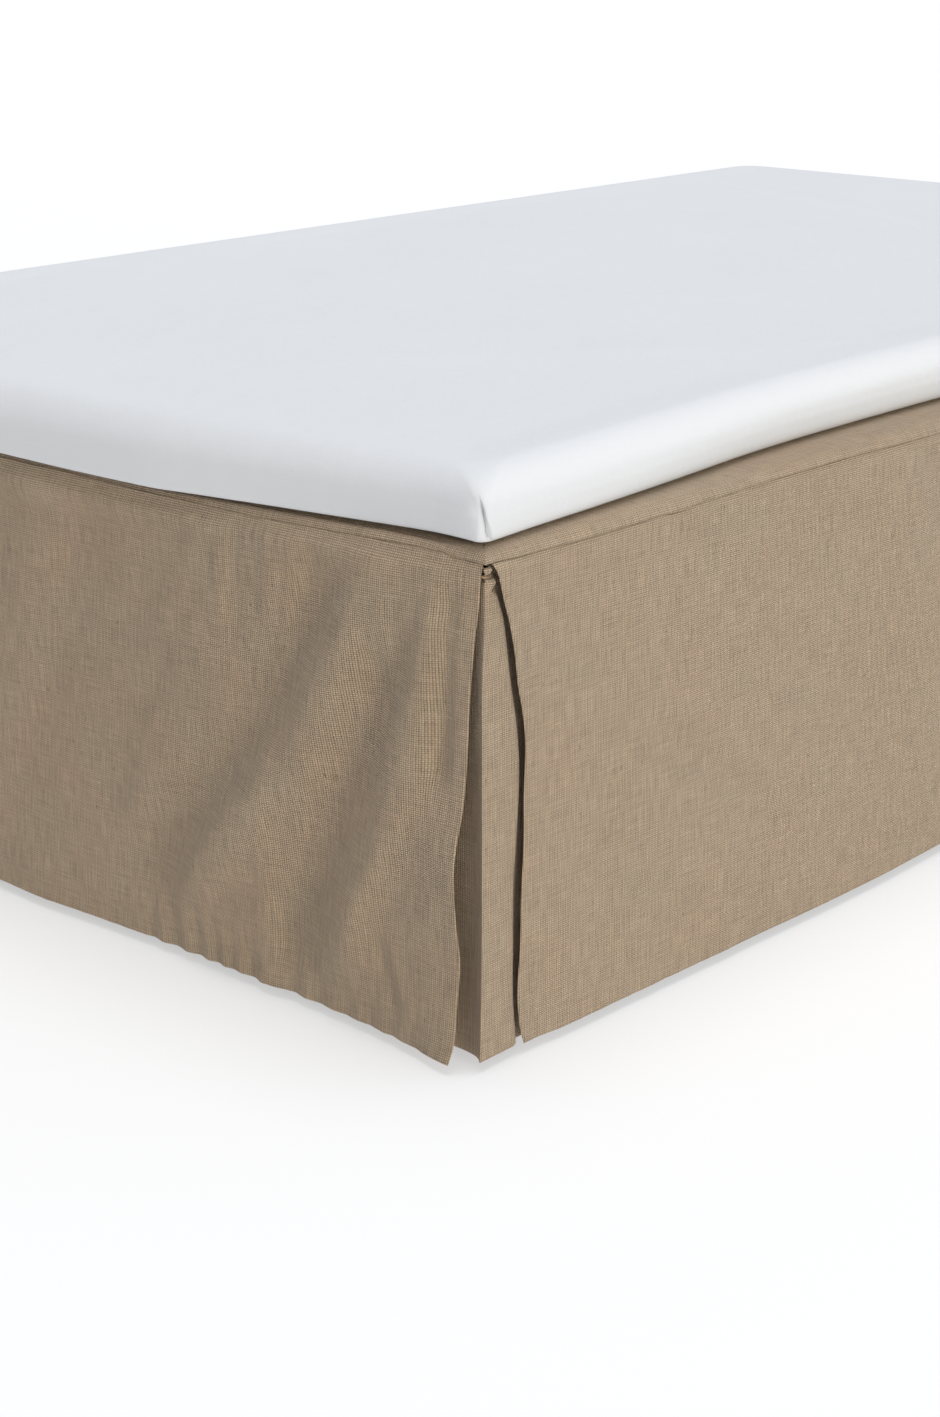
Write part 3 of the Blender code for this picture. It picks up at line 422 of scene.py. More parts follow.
def drop_surface(panel, place, down, up):
    """Outer face of a drop at a column, a distance down from the seam or up from the hem."""
    fall = down / NOMINAL_DROP if up is None else 1 - up / NOMINAL_DROP
    height = SEAM_HEIGHT * (1 - fall) + HEM_HEIGHT * fall
    shift = follow(panel.start_edge, height, "along", "height") * (1 - smoothstep(place / EDGE_REACH))
    near_start = 1 - smoothstep(place / EDGE_BLEND)
    near_far = 0.0
    from_edge = place
    if panel.far_edge:
        rest = panel.length - place
        shift -= follow(panel.far_edge, height, "along", "height") * (1 - smoothstep(rest / EDGE_REACH))
        near_far = 1 - smoothstep(rest / EDGE_BLEND)
        from_edge = min(place, rest)
    along = place + shift
    top = seam_height(panel, along) - SEAM_GAP
    height = top * (1 - fall) + HEM_HEIGHT * fall
    above_hem = height - HEM_HEIGHT
    below_seam = top - height
    outward = follow(panel.hem, along, "outward") * fall ** RAMP_POWER
    outward += (follow(panel.start_edge, height, "outward", "height") - outward) * near_start
    if panel.far_edge:
        outward += (follow(panel.far_edge, height, "outward", "height") - outward) * near_far
    free = smoothstep(below_seam / SEAM_FREE) * smoothstep(above_hem / HEM_FREE)
    free *= smoothstep(from_edge / EDGE_FREE)
    outward += fold_rise(panel.folds, along, height) * free
    outward = max(outward, -1.0 * smoothstep(fall / 0.1))
    held = smoothstep(below_seam / 30) * (0.25 + 0.75 * smoothstep(from_edge / 40))
    relief = fold_rise(panel.fine, along, height)
    relief += SWELL * wave(along / 60, height / 110, panel.seed)
    relief += QUIVER * wave(along / 21, height / 46, panel.seed + 5)
    outward += relief * held * panel.calm if panel.seed != 1 else relief * held
    outward += ripple_rise(panel.ripples, along, above_hem)
    outward += HEM_QUIVER * panel.calm * wave(along / 11, 0.2, panel.seed + 9) * bell(above_hem / 48)
    outward += SEAM_QUIVER * panel.calm * wave(along / 9, 0.7, panel.seed + 13) * bell((below_seam - 7) / 16)
    shoulder = follow(FOOT_SHOULDER, along, "rise") if panel.seed == 1 else 0.0
    puffed = min(1.0, shoulder / PUFFED_FROM)
    outward -= SEAM_RECESS * (1 - smoothstep(below_seam / (4.5 - 3.3 * puffed)))
    crest = CREST_RISE * puffed * smoothstep(below_seam / 1.8)
    roundness = crest + (shoulder - crest) * smoothstep(below_seam / SHOULDER_RAMP)
    outward += roundness * bell(below_seam / SHOULDER_FADE)
    curl = CURL * puffed * smoothstep(below_seam) * bell((below_seam - 2.3) / 2.3)
    stitch = 0.6 + 0.4 * math.sin(height * 2 * math.pi / 3.2)
    outward -= STITCH_DIP * bell((from_edge - SIDE_HEM) / 0.9) * stitch
    outward += HEM_STEP * (1 - smoothstep((from_edge - SIDE_HEM + 1.5) / 2.5))
    return along, outward, height + curl, from_edge, above_hem


def closed_sheet(name, outer, inner, coords, surface, sharp=62):
    """Closed thin sheet between two grids of points, with cloth coordinates in metres as its UV map."""
    columns, rows = len(outer), len(outer[0])
    points = [point for line in outer for point in line] + [point for line in inner for point in line]
    flat_coords = [place for line in coords for place in line] * 2
    offset = columns * rows

    def index(i, j, side):
        return side * offset + i * rows + j

    faces = []
    for i in range(columns - 1):
        for j in range(rows - 1):
            faces.append((index(i, j, 0), index(i + 1, j, 0), index(i + 1, j + 1, 0), index(i, j + 1, 0)))
            faces.append((index(i, j, 1), index(i, j + 1, 1), index(i + 1, j + 1, 1), index(i + 1, j, 1)))
    rim = [(i, 0) for i in range(columns)]
    rim += [(columns - 1, j) for j in range(1, rows)]
    rim += [(i, rows - 1) for i in range(columns - 2, -1, -1)]
    rim += [(0, j) for j in range(rows - 2, 0, -1)]
    for (i, j), (k, m) in zip(rim, rim[1:] + rim[:1]):
        faces.append((index(i, j, 0), index(i, j, 1), index(k, m, 1), index(k, m, 0)))
    mesh = bpy.data.meshes.new(name)
    mesh.from_pydata(points, [], faces)
    tidy = bmesh.new()
    tidy.from_mesh(mesh)
    bmesh.ops.recalc_face_normals(tidy, faces=tidy.faces[:])
    layer = tidy.loops.layers.uv.new("cloth")
    tidy.verts.index_update()
    for face in tidy.faces:
        for loop in face.loops:
            loop[layer].uv = flat_coords[loop.vert.index]
    tidy.to_mesh(mesh)
    tidy.free()
    mesh.shade_smooth()
    mesh.set_sharp_from_angle(angle=math.radians(sharp))
    mesh.materials.append(surface)
    made = bpy.data.objects.new(name, mesh)
    bpy.context.scene.collection.objects.link(made)
    return made


def body_from_rings(name, rings, surface, sharp=40):
    """Closed body through a stack of rings of the same size, capped at both ends."""
    shape = bmesh.new()
    loops = [[shape.verts.new(point) for point in ring] for ring in rings]
    for low, high in zip(loops, loops[1:]):
        for n in range(len(low)):
            m = (n + 1) % len(low)
            shape.faces.new((low[n], low[m], high[m], high[n]))
    shape.faces.new(loops[0])
    shape.faces.new(loops[-1])
    bmesh.ops.triangulate(shape, faces=[face for face in shape.faces if len(face.verts) > 4])
    bmesh.ops.recalc_face_normals(shape, faces=shape.faces[:])
    mesh = bpy.data.meshes.new(name)
    shape.to_mesh(mesh)
    shape.free()
    mesh.shade_smooth()
    mesh.set_sharp_from_angle(angle=math.radians(sharp))
    mesh.materials.append(surface)
    made = bpy.data.objects.new(name, mesh)
    bpy.context.scene.collection.objects.link(made)
    return made


class Graph:
    """Small helper that builds a material's nodes."""

    def __init__(self, name):
        self.material = bpy.data.materials.new(name)
        self.material.use_nodes = True
        self.tree = self.material.node_tree
        self.shader = self.tree.nodes["Principled BSDF"]

    def node(self, kind, **settings):
        made = self.tree.nodes.new(kind)
        for key, value in settings.items():
            setattr(made, key, value)
        return made

    def put(self, value, socket):
        if isinstance(value, bpy.types.NodeSocket):
            self.tree.links.new(value, socket)
        else:
            socket.default_value = value

    def math(self, operation, first, second=0.0, third=0.0, clamp=False):
        made = self.node("ShaderNodeMath", operation=operation, use_clamp=clamp)
        for value, socket in zip((first, second, third), made.inputs):
            self.put(value, socket)
        return made.outputs[0]

    def vector(self, x, y, z=0.0):
        made = self.node("ShaderNodeCombineXYZ")
        for value, socket in zip((x, y, z), made.inputs):
            self.put(value, socket)
        return made.outputs[0]

    def noise(self, place, scale, detail=2.0, roughness=0.5):
        made = self.node("ShaderNodeTexNoise")
        self.put(place, made.inputs["Vector"])
        made.inputs["Scale"].default_value = scale
        made.inputs["Detail"].default_value = detail
        made.inputs["Roughness"].default_value = roughness
        return made.outputs["Fac"]

    def ramp(self, value, low, high):
        made = self.node("ShaderNodeMapRange", interpolation_type="SMOOTHSTEP")
        self.put(value, made.inputs["Value"])
        made.inputs["From Min"].default_value = low
        made.inputs["From Max"].default_value = high
        return made.outputs["Result"]

    def tint(self, colour, factor):
        """Colour times a grey factor."""
        made = self.node("ShaderNodeVectorMath", operation="SCALE")
        self.put(colour, made.inputs[0])
        self.put(factor, made.inputs["Scale"])
        return made.outputs[0]

    def mix(self, factor, first, second):
        made = self.node("ShaderNodeMix", data_type="RGBA")
        self.put(factor, made.inputs["Factor"])
        self.put(first, made.inputs[6])
        self.put(second, made.inputs[7])
        return made.outputs[2]

    def bump(self, height, distance, strength=1.0):
        made = self.node("ShaderNodeBump")
        made.inputs["Distance"].default_value = distance
        made.inputs["Strength"].default_value = strength
        self.put(height, made.inputs["Height"])
        self.put(made.outputs[0], self.shader.inputs["Normal"])

    def object_place(self):
        return self.node("ShaderNodeTexCoord").outputs["Object"]

    def cloth_place(self):
        split = self.node("ShaderNodeSeparateXYZ")
        self.put(self.node("ShaderNodeUVMap", uv_map="cloth").outputs[0], split.inputs[0])
        return split.outputs[0], split.outputs[1]


def woven(name, colour, pitch, contrast, relief, sheen, speck=0.0, streak=0.1):
    """Plain weave of slightly uneven threads, drawn in the cloth's own coordinates."""
    g = Graph(name)
    across, up = g.cloth_place()
    warp = g.math("DIVIDE", across, pitch[0])
    weft = g.math("DIVIDE", up, pitch[1])
    drift = g.noise(g.vector(g.math("MULTIPLY", across, 18.0), g.math("MULTIPLY", up, 18.0)), 1.0, 1.0)
    warp = g.math("MULTIPLY_ADD", drift, 0.9, warp)
    weft = g.math("MULTIPLY_ADD", drift, -0.7, weft)
    wave_warp = g.math("SINE", g.math("MULTIPLY", warp, math.pi))
    wave_weft = g.math("SINE", g.math("MULTIPLY", weft, math.pi))
    over = g.math("MULTIPLY", wave_warp, wave_weft)
    dots = g.math("POWER", g.math("ABSOLUTE", over), 0.55)
    side = g.math("MULTIPLY_ADD", over, 0.5, 0.5, clamp=True)
    warp_tone = g.noise(g.vector(warp, g.math("MULTIPLY", weft, 0.06)), 1.0, 2.0, 0.6)
    weft_tone = g.noise(g.vector(g.math("MULTIPLY", warp, 0.06), weft), 1.0, 2.0, 0.6)
    tone = g.math("ADD", warp_tone, g.math("MULTIPLY", weft_tone, 0.7))
    tone = g.math("SUBTRACT", tone, 0.85)
    cloudy = g.noise(g.object_place(), 7.0, 3.0)
    factor = g.math("MULTIPLY_ADD", dots, contrast, 1.0 - contrast * 0.62)
    factor = g.math("MULTIPLY_ADD", tone, streak * 2.2, factor)
    factor = g.math("MULTIPLY_ADD", g.math("SUBTRACT", side, 0.5), contrast * 0.22, factor)
    factor = g.math("MULTIPLY_ADD", g.math("SUBTRACT", cloudy, 0.5), 0.10, factor)
    if speck:
        slub_place = g.vector(g.math("MULTIPLY", warp, 0.62), g.math("MULTIPLY", weft, 0.22))
        slub = g.ramp(g.noise(slub_place, 1.0, 1.0), 0.70, 0.80)
        factor = g.math("MULTIPLY_ADD", slub, -speck, factor)
        nub_place = g.vector(g.math("MULTIPLY", warp, 0.18), g.math("MULTIPLY", weft, 0.55), 3.7)
        nub = g.ramp(g.noise(nub_place, 1.0, 1.0), 0.72, 0.82)
        factor = g.math("MULTIPLY_ADD", nub, speck * 0.6, factor)
    warm = tuple(c * k for c, k in zip(colour, (1.012, 0.995, 0.985))) + (1,)
    cool = tuple(c * k for c, k in zip(colour, (0.988, 1.005, 1.010))) + (1,)
    hue = g.ramp(g.noise(g.object_place(), 11.0, 2.0), 0.35, 0.65)
    g.put(g.tint(g.mix(hue, warm, cool), factor), g.shader.inputs["Base Color"])
    g.put(g.math("MULTIPLY_ADD", dots, -0.08, 0.95), g.shader.inputs["Roughness"])
    height = g.math("MULTIPLY_ADD", tone, 0.5, dots)
    g.bump(height, relief)
    g.shader.inputs["Sheen Weight"].default_value = sheen
    g.shader.inputs["Sheen Roughness"].default_value = 0.5
    g.shader.inputs["Specular IOR Level"].default_value = 0.25
    return g.material


def sheeted(name, colour):
    """Smooth white cotton sheet with the faintest weave and small creases."""
    g = Graph(name)
    place = g.object_place()
    cloudy = g.noise(place, 4.0, 3.0)
    fine = g.noise(place, 900.0, 2.0)
    crease = g.noise(place, 38.0, 4.0, 0.6)
    factor = g.math("MULTIPLY_ADD", g.math("SUBTRACT", cloudy, 0.5), 0.035, 1.0)
    factor = g.math("MULTIPLY_ADD", g.math("SUBTRACT", fine, 0.5), 0.05, factor)
    g.put(g.tint(tuple(colour), factor), g.shader.inputs["Base Color"])
    g.put(g.math("MULTIPLY_ADD", fine, 0.1, 0.72), g.shader.inputs["Roughness"])
    g.bump(g.math("MULTIPLY_ADD", crease, 1.6, g.math("MULTIPLY", fine, 0.16)), 0.0006)
    g.shader.inputs["Sheen Weight"].default_value = 0.08
    g.shader.inputs["Specular IOR Level"].default_value = 0.3
    return g.material


def covered(name, colour):
    """Woven cover of the bed base, drawn from the object's own coordinates on its upright faces."""
    g = Graph(name)
    split = g.node("ShaderNodeSeparateXYZ")
    g.put(g.object_place(), split.inputs[0])
    x, y, z = split.outputs
    across = g.math("ADD", x, y)
    threads = g.math("ABSOLUTE", g.math("SINE", g.math("MULTIPLY", across, math.pi / 0.0022)))
    rows = g.math("ABSOLUTE", g.math("SINE", g.math("MULTIPLY", z, math.pi / 0.0018)))
    dots = g.math("MULTIPLY", threads, rows)
    cloudy = g.noise(g.object_place(), 9.0, 3.0)
    melange = g.noise(g.vector(g.math("MULTIPLY", across, 120.0), g.math("MULTIPLY", z, 420.0)), 1.0, 2.0)
    factor = g.math("MULTIPLY_ADD", dots, 0.22, 0.86)
    factor = g.math("MULTIPLY_ADD", g.math("SUBTRACT", melange, 0.5), 0.5, factor)
    factor = g.math("MULTIPLY_ADD", g.math("SUBTRACT", cloudy, 0.5), 0.10, factor)
    g.put(g.tint(tuple(colour), factor), g.shader.inputs["Base Color"])
    g.put(g.math("MULTIPLY_ADD", dots, -0.06, 0.94), g.shader.inputs["Roughness"])
    g.bump(g.math("ADD", dots, g.math("MULTIPLY", melange, 0.6)), 0.0005)
    g.shader.inputs["Sheen Weight"].default_value = 0.12
    return g.material


def wooden(name, dark, light):
    """Oiled wood with its grain along the leg."""
    g = Graph(name)
    split = g.node("ShaderNodeSeparateXYZ")
    g.put(g.object_place(), split.inputs[0])
    x, y, z = split.outputs
    long_place = g.vector(*(g.math("MULTIPLY", axis, k) for axis, k in zip((x, y, z), (60.0, 60.0, 5.0))))
    rings = g.noise(long_place, 1.0, 4.0, 0.6)
    fine_place = g.vector(*(g.math("MULTIPLY", axis, k) for axis, k in zip((x, y, z), (900.0, 900.0, 30.0))))
    pores = g.noise(fine_place, 1.0)
    mixed = g.mix(g.ramp(rings, 0.36, 0.64), tuple(dark) + (1,), tuple(light) + (1,))
    g.put(g.tint(mixed, g.math("MULTIPLY_ADD", pores, 0.3, 0.85)), g.shader.inputs["Base Color"])
    g.put(g.math("MULTIPLY_ADD", pores, 0.2, 0.38), g.shader.inputs["Roughness"])
    g.bump(g.math("ADD", rings, pores), 0.0002)
    return g.material


def felted(name, colour):
    g = Graph(name)
    fuzz = g.noise(g.object_place(), 1400.0, 3.0)
    g.put(g.tint(tuple(colour), g.math("MULTIPLY_ADD", fuzz, 0.6, 0.7)), g.shader.inputs["Base Color"])
    g.shader.inputs["Roughness"].default_value = 0.95
    g.bump(fuzz, 0.0004)
    return g.material


CANVAS_COLOUR = (0.481, 0.358, 0.241)
CANVAS = woven("skirt canvas", CANVAS_COLOUR, (0.0022, 0.0019), 0.72, 0.0013, 0.15, speck=0.36, streak=0.36)
DECK_COTTON = woven("deck cotton", (0.72, 0.69, 0.63), (0.0009, 0.0009), 0.15, 0.00015, 0.05)
SHEET = sheeted("white sheet", (0.700, 0.708, 0.726))
COVER = covered("base cover", (0.30, 0.28, 0.26))
DUST_CLOTH = felted("dust cloth", (0.05, 0.05, 0.055))
WOOD = wooden("leg wood", (0.18, 0.105, 0.055), (0.30, 0.185, 0.10))
GLIDE = felted("glide felt", (0.10, 0.09, 0.08))
THREAD_COLOUR = (0.40, 0.30, 0.21)


def finish_piece(piece, slot, *nodes):
    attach(piece, BODY)
    if nodes:
        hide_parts(*nodes)
    return piece


def make_drop(side):
    """One hanging panel: its folds, hem ripples, stitched side hem and rounded edges."""
    panel = PANELS[side]
    far_columns = EDGE_COLUMNS if panel.far_edge else PLAIN_COLUMNS
    outer, inner, coords = [], [], []
    rows = [(down, None) for down in SEAM_ROWS]
    middle = fine_places(NOMINAL_DROP, (SEAM_ROWS[-1],), (HEM_ROWS[-1],), DROP_STEP)[1:-1]
    rows += [(down, None) for down in middle]
    rows += [(None, up) for up in reversed(HEM_ROWS)]
    for place in fine_places(panel.length, EDGE_COLUMNS, far_columns, FAR_STEP, SHOWN_REACH, SHOWN_STEP):
        lines = ([], [], [])
        for down, up in rows:
            along, outward, height, from_edge, above_hem = drop_surface(panel, place, down, up)
            thick = CLOTH + HEM_EXTRA * (1 - smoothstep((from_edge - SIDE_HEM) / 2))
            if down is not None:
                thick *= 0.4 + 0.6 * smoothstep(down / 4)
            rounding = 0.5 * (1 - smoothstep(min(from_edge, above_hem) / 1.2)) * thick * 0.9
            lines[0].append(panel.place(along, outward - rounding, height))
            lines[1].append(panel.place(along, outward - thick + rounding, height))
            lines[2].append((along / 1000, height / 1000))
        for grid, line in zip((outer, inner, coords), lines):
            grid.append(line)
    piece = closed_sheet(f"{side}_drop_cloth", outer, inner, coords, CANVAS)
    finish_piece(piece, "skirt_canvas", f"drop_{side}")
    return piece


def band_profile(seam, lift, valley, press):
    """Section of a band: distance in from the bed's face, height, and way out."""
    roll, fall = BAND_ROLL, DECK_TOP * 1000 - seam
    rows = [(BAND_WIDTH - n * (BAND_WIDTH - roll) / 10, DECK_TOP * 1000) for n in range(10)]
    rows += [(inset, DECK_TOP * 1000) for inset in (20, 18, 16)]
    for n in range(15):
        turn = math.pi / 2 * n / 14
        rows.append((roll * (1 - math.sin(turn)), seam + fall * math.cos(turn)))
    shaped = []
    for n, (inset, height) in enumerate(rows):
        before, after = rows[max(n - 1, 0)], rows[min(n + 1, len(rows) - 1)]
        run, rise = before[0] - after[0], after[1] - before[1]
        size = math.hypot(run, rise)
        out_x, out_z = -rise / size, run / size
        above = height - seam
        bead = lift * bell((above - 2.2) / 1.3) - 0.55 * (1 - valley) * bell(above / 0.7)
        bead -= 0.9 * valley * (1 - smoothstep((above - 0.8) / 1.2))
        at_face = 1 - smoothstep((inset - 4) / 6)
        push = bead * at_face
        push += valley * (VALLEY_RIDGE * bell((inset - 3.5) / 2.8) - VALLEY_DEPTH * bell((inset - 12) / 4.2))
        pressed = press * (height - seam) / fall * (1 - smoothstep((inset - 12) / 18))
        shaped.append((inset - out_x * push, height + out_z * push - pressed, out_x, out_z))
    return shaped


def make_band(side):
    """Border strip that lies on the deck and rolls over the bed's edge to the seam."""
    panel = PANELS[side]
    outer, inner, coords = [], [], []
    for station in fine_places(panel.length, (0, 1, 2.5, 5, 9), (0, 1, 2.5, 5, 9), 9.0):
        share = station / panel.length
        seam = seam_height(panel, station)
        sag = 0.25 * wave(station / 40, 0.1, panel.seed + 31)
        lines = ([], [], [])
        run = 0.0
        last = None
        lift = 0.55 + 0.15 * wave(station / 23, 0, panel.seed + 40)
        valley = smoothstep((station - 24) / 40) if side == "foot" else 0.0
        press = BAND_PRESS * valley * max(0.0, follow(FOOT_LIE, station, "droop"))
        for inset, height, out_x, out_z in band_profile(seam, lift, valley, press):
            if last:
                run += math.hypot(inset - last[0], height - last[1])
            last = (inset, height)
            start = inset + MITRE_GAP
            stop = panel.length - inset - MITRE_GAP if panel.far_edge else panel.length
            along = start + (stop - start) * share
            near_mitre = bell((along - inset) / 1.6)
            if panel.far_edge:
                near_mitre += bell((panel.length - along - inset) / 1.6)
            on_top = smoothstep((inset - 12) / 10)
            rise = (sag - 0.2) * (1 - on_top) - 0.5 * near_mitre
            lines[0].append(panel.place(along, -inset + out_x * rise, height + out_z * rise))
            sink = rise - CLOTH
            lines[1].append(panel.place(along, -inset + out_x * sink, height + out_z * sink))
            lines[2].append((along / 1000, -run / 1000))
        for grid, line in zip((outer, inner, coords), lines):
            grid.append(line)
    piece = closed_sheet(f"{side}_band_cloth", outer, inner, coords, CANVAS)
    finish_piece(piece, "skirt_canvas", f"band_{side}")
    return piece


def gusset_path(rows, height):
    """Plan of a gusset at one height: along the foot face, round the corner, and into the side pleat."""
    corner_foot = follow(rows, height, "foot_out", "height")
    corner_side = follow(rows, height, "side_out", "height")
    turn = follow(rows, height, "turn", "height")
    path = []
    for reach in (GUSSET_ARM, 100, 85, 72, 60, 50, 40, 33, 26, 20, 15, 11, 7, 4.5, 2.5, 1.2):
        nearness = math.exp(-reach / GUSSET_FADE)
        foot = corner_foot * nearness - GUSSET_REST * (1 - nearness)
        path.append((corner_side * nearness - reach, foot))
    path.append((corner_side, corner_foot))
    for share in (0.04, 0.09, 0.18, 0.28, 0.39, 0.5, 0.6, 0.7, 0.78, 0.86):
        path.append((corner_side, corner_foot * math.exp(-share * turn / 9) - share * turn))
    for step, sink in TUCK_STEPS:
        level = corner_side * (1 - smoothstep(sink / GUSSET_TUCK)) - sink
        path.append((level, -turn - step))
    for reach in (64, 75, 88, 100, GUSSET_ARM):
        path.append((-GUSSET_TUCK, -reach))
    return path


def path_normals(path):
    normals = []
    for n in range(len(path)):
        a, b = path[max(n - 1, 0)], path[min(n + 1, len(path) - 1)]
        run_x, run_y = b[0] - a[0], b[1] - a[1]
        size = math.hypot(run_x, run_y)
        normals.append((-run_y / size, run_x / size))
    return normals


def eased(path, times):
    """The path with its corners softened."""
    for _ in range(times):
        inside = [
            tuple(0.25 * a + 0.5 * b + 0.25 * c for a, b, c in zip(*three))
            for three in zip(path, path[1:], path[2:])
        ]
        path = [path[0], *inside, path[-1]]
    return path


def crumple(x, y, height):
    """Bead, crease, bulge and pockets of the gathered cloth under the corner."""
    rise = 0.0
    for dent in GUSSET_CRUMPLE:
        aside = 0.0 if dent.across is None else x - dent.across
        away = math.hypot(aside, y - dent.back)
        rise += dent.rise * bell((height - dent.height) / dent.tall) * bell(away / dent.wide)
    return rise


def make_gusset(side, rows, direction, seed):
    """Piece behind a split corner, gathered at its top and tucked into a pleat behind the long side."""
    heights = fine_places(GUSSET_TOP - HEM_HEIGHT, GUSSET_TOP_ROWS, (0, 0.5, 1.4, 3), 6.0)
    heights = [GUSSET_TOP - down for down in heights]
    outer_lines, inner_lines, coord_lines = [], [], []
    for height in heights:
        crispness = smoothstep((439 - height) / 10)
        crisp, soft = (eased(gusset_path(rows, height), times) for times in (1, 3))
        path = [
            tuple(a * crispness + b * (1 - crispness) for a, b in zip(*pair)) for pair in zip(crisp, soft)
        ]
        normals = path_normals(path)
        outer, inner, coords = [], [], []
        run = 0.0
        for n, ((x, y), (nx, ny)) in enumerate(zip(path, normals)):
            if n:
                run += math.hypot(x - path[n - 1][0], y - path[n - 1][1])
            relief = crumple(x, y, height)
            relief += 0.35 * wave(run / 9, height / 70, seed) * smoothstep((430 - height) / 40)
            rim = min(height - HEM_HEIGHT, 3.0)
            rounding = 0.45 * (1 - smoothstep(rim / 1.2)) * CLOTH
            outer.append((x + nx * (relief - rounding), y + ny * (relief - rounding)))
            back = relief - CLOTH + rounding
            inner.append((x + nx * back, y + ny * back))
            coords.append((run / 1000, height / 1000))
        outer_lines.append(outer)
        inner_lines.append(inner)
        coord_lines.append(coords)

    def placed(point, height):
        return (direction * (SIDE_X + point[0] / 1000), FOOT_Y - point[1] / 1000, height / 1000)

    columns = range(len(outer_lines[0]))
    grids = [
        [[placed(line[n], height) for line, height in zip(lines, heights)] for n in columns]
        for lines in (outer_lines, inner_lines)
    ]
    coords = [[line[n] for line in coord_lines] for n in columns]
    piece = closed_sheet(f"{side}_gusset_cloth", *grids, coords, CANVAS)
    finish_piece(piece, "skirt_canvas", f"gusset_{side}")
    return piece


def make_deck():
    """Plain cloth under the topper, a thin sheet between the three bands."""
    edge_x = SIDE_X - BAND_WIDTH / 1000 - 0.0003
    low_y = FOOT_Y + BAND_WIDTH / 1000 + 0.0003
    xs = [-edge_x + 2 * edge_x * n / 40 for n in range(41)]
    ys = [low_y + (HEAD_Y - low_y) * n / 76 for n in range(77)]
    top, low, coords = [], [], []
    for x in xs:
        relief = [0.0001 * wave(x * 9, y * 9, 50) for y in ys]
        top.append([(x, y, DECK_TOP - 0.0003 + r) for y, r in zip(ys, relief)])
        low.append([(x, y, DECK_TOP - 0.0013 + r) for y, r in zip(ys, relief)])
        coords.append([(x, y) for y in ys])
    piece = closed_sheet("deck_cloth", top, low, coords, DECK_COTTON)
    finish_piece(piece, "deck_cotton", "skirt_deck")
    return piece


def spread(start, end, step):
    count = max(1, round((end - start) / step))
    return [start + (end - start) * n / count for n in range(count)]


RIGHT_RUN = spread(0, 60, 3) + spread(60, 300, 7) + spread(300, 2000, 12)
HEAD_RUN = spread(0, 1200, 15)
LEFT_RUN = spread(0, 2000, 15)
FOOT_RUN = spread(0, 840, 9) + spread(840, 1120, 5) + spread(1120, 1200, 1.6)


def topper_ring(inset):
    """Places round the sheet at one distance in from its edge, each with its way in, before it is laid."""
    radius = TOPPER_CORNER + TOPPER_CORNER_GROWTH * inset
    half = SIDE_X - inset
    low, high = FOOT_Y + inset, HEAD_Y - inset
    centres = [
        (half - radius, low + radius, 28), (half - radius, high - radius, 10),
        (-half + radius, high - radius, 10), (-half + radius, low + radius, 10),
    ]
    arcs = []
    for turn, (x, y, steps) in enumerate(centres):
        angles = [math.pi / 2 * (turn - 1 + n / steps) for n in range(steps + 1)]
        arcs.append([
            (x + radius * math.cos(a), y + radius * math.sin(a), -math.cos(a), -math.sin(a)) for a in angles
        ])
    ring = []
    runs = ((RIGHT_RUN, BED_LENGTH), (HEAD_RUN, BED_WIDTH), (LEFT_RUN, BED_LENGTH), (FOOT_RUN, BED_WIDTH))
    for n, (arc, (run, length)) in enumerate(zip(arcs, runs)):
        ring += arc
        first, last = arc[-1], arcs[(n + 1) % 4][0]
        for place in run[1:]:
            share = place / length
            ring.append((*(a + (b - a) * share for a, b in zip(first[:2], last[:2])), *first[2:]))
    return ring


def laid(x, y):
    """A plan place of the sheet moved to where it lies on the bed."""
    from_foot = (y - FOOT_Y) * 1000
    from_side = (SIDE_X - x) * 1000
    to_right = (x + SIDE_X) / (2 * SIDE_X)
    to_foot = (HEAD_Y - y) / (HEAD_Y - FOOT_Y)
    moved_x = to_right * follow(RIGHT_LIE, from_foot, "outward")
    moved_x -= (1 - to_right) * follow(LEFT_LIE, from_foot, "outward")
    moved_y = (1 - to_foot) * follow(HEAD_LIE, from_side, "outward")
    moved_y -= to_foot * follow(FOOT_LIE, from_side, "outward")
    return x + moved_x / 1000, y + moved_y / 1000


def foot_droop(x, y):
    near = 1 - smoothstep((y - FOOT_Y) / 0.05)
    return follow(FOOT_LIE, (SIDE_X - x) * 1000, "droop") / 1000 * near


def wrinkle_rise(x, y):
    total = 0.0
    for w in SHEET_WRINKLES:
        run, fall = w.x_to - w.x_from, w.y_to - w.y_from
        length = math.hypot(run, fall)
        off = abs((x - w.x_from) * fall - (y - w.y_from) * run) / length
        t = ((x - w.x_from) * run + (y - w.y_from) * fall) / length ** 2
        past = max(0.0, -t, t - 1) * length
        total += w.rise / 1000 * bell(past / (2.5 * w.width)) * bell(off / w.width)
    return total


def corner_fold(x, y, z):
    """Depth of the sheet's tuck at the near corner: a sharp lip on its right, a soft slope on its left."""
    round_corner = (y - FOOT_Y) - (SIDE_X - x)
    if abs(round_corner) > 0.05:
        return 0.0
    t = (FOLD_TOP[1] - z) / (FOLD_TOP[1] - FOLD_LOW[1])
    line = FOLD_TOP[0] + (FOLD_LOW[0] - FOLD_TOP[0]) * t
    off = line - round_corner
    width = FOLD_SOFT if off > 0 else FOLD_SHARP
    fade = smoothstep((t + 0.2) / 0.4) * (1 - smoothstep((t - 0.88) / 0.16))
    return FOLD_DEPTH * bell(off / width) * fade


def top_height(x, y, from_edge):
    """Height of the sheet's top face, with its faint wrinkles fading out toward the soft edge."""
    flatness = smoothstep(from_edge / 0.06)
    relief = wrinkle_rise(x, y) + 0.0010 * wave(x * 4.2, y * 4.2, 61) + 0.0003 * wave(x * 14, y * 14, 62)
    return TOPPER_TOP - 0.0002 - TOPPER_SAG * flatness + min(relief * flatness, TOPPER_SAG)


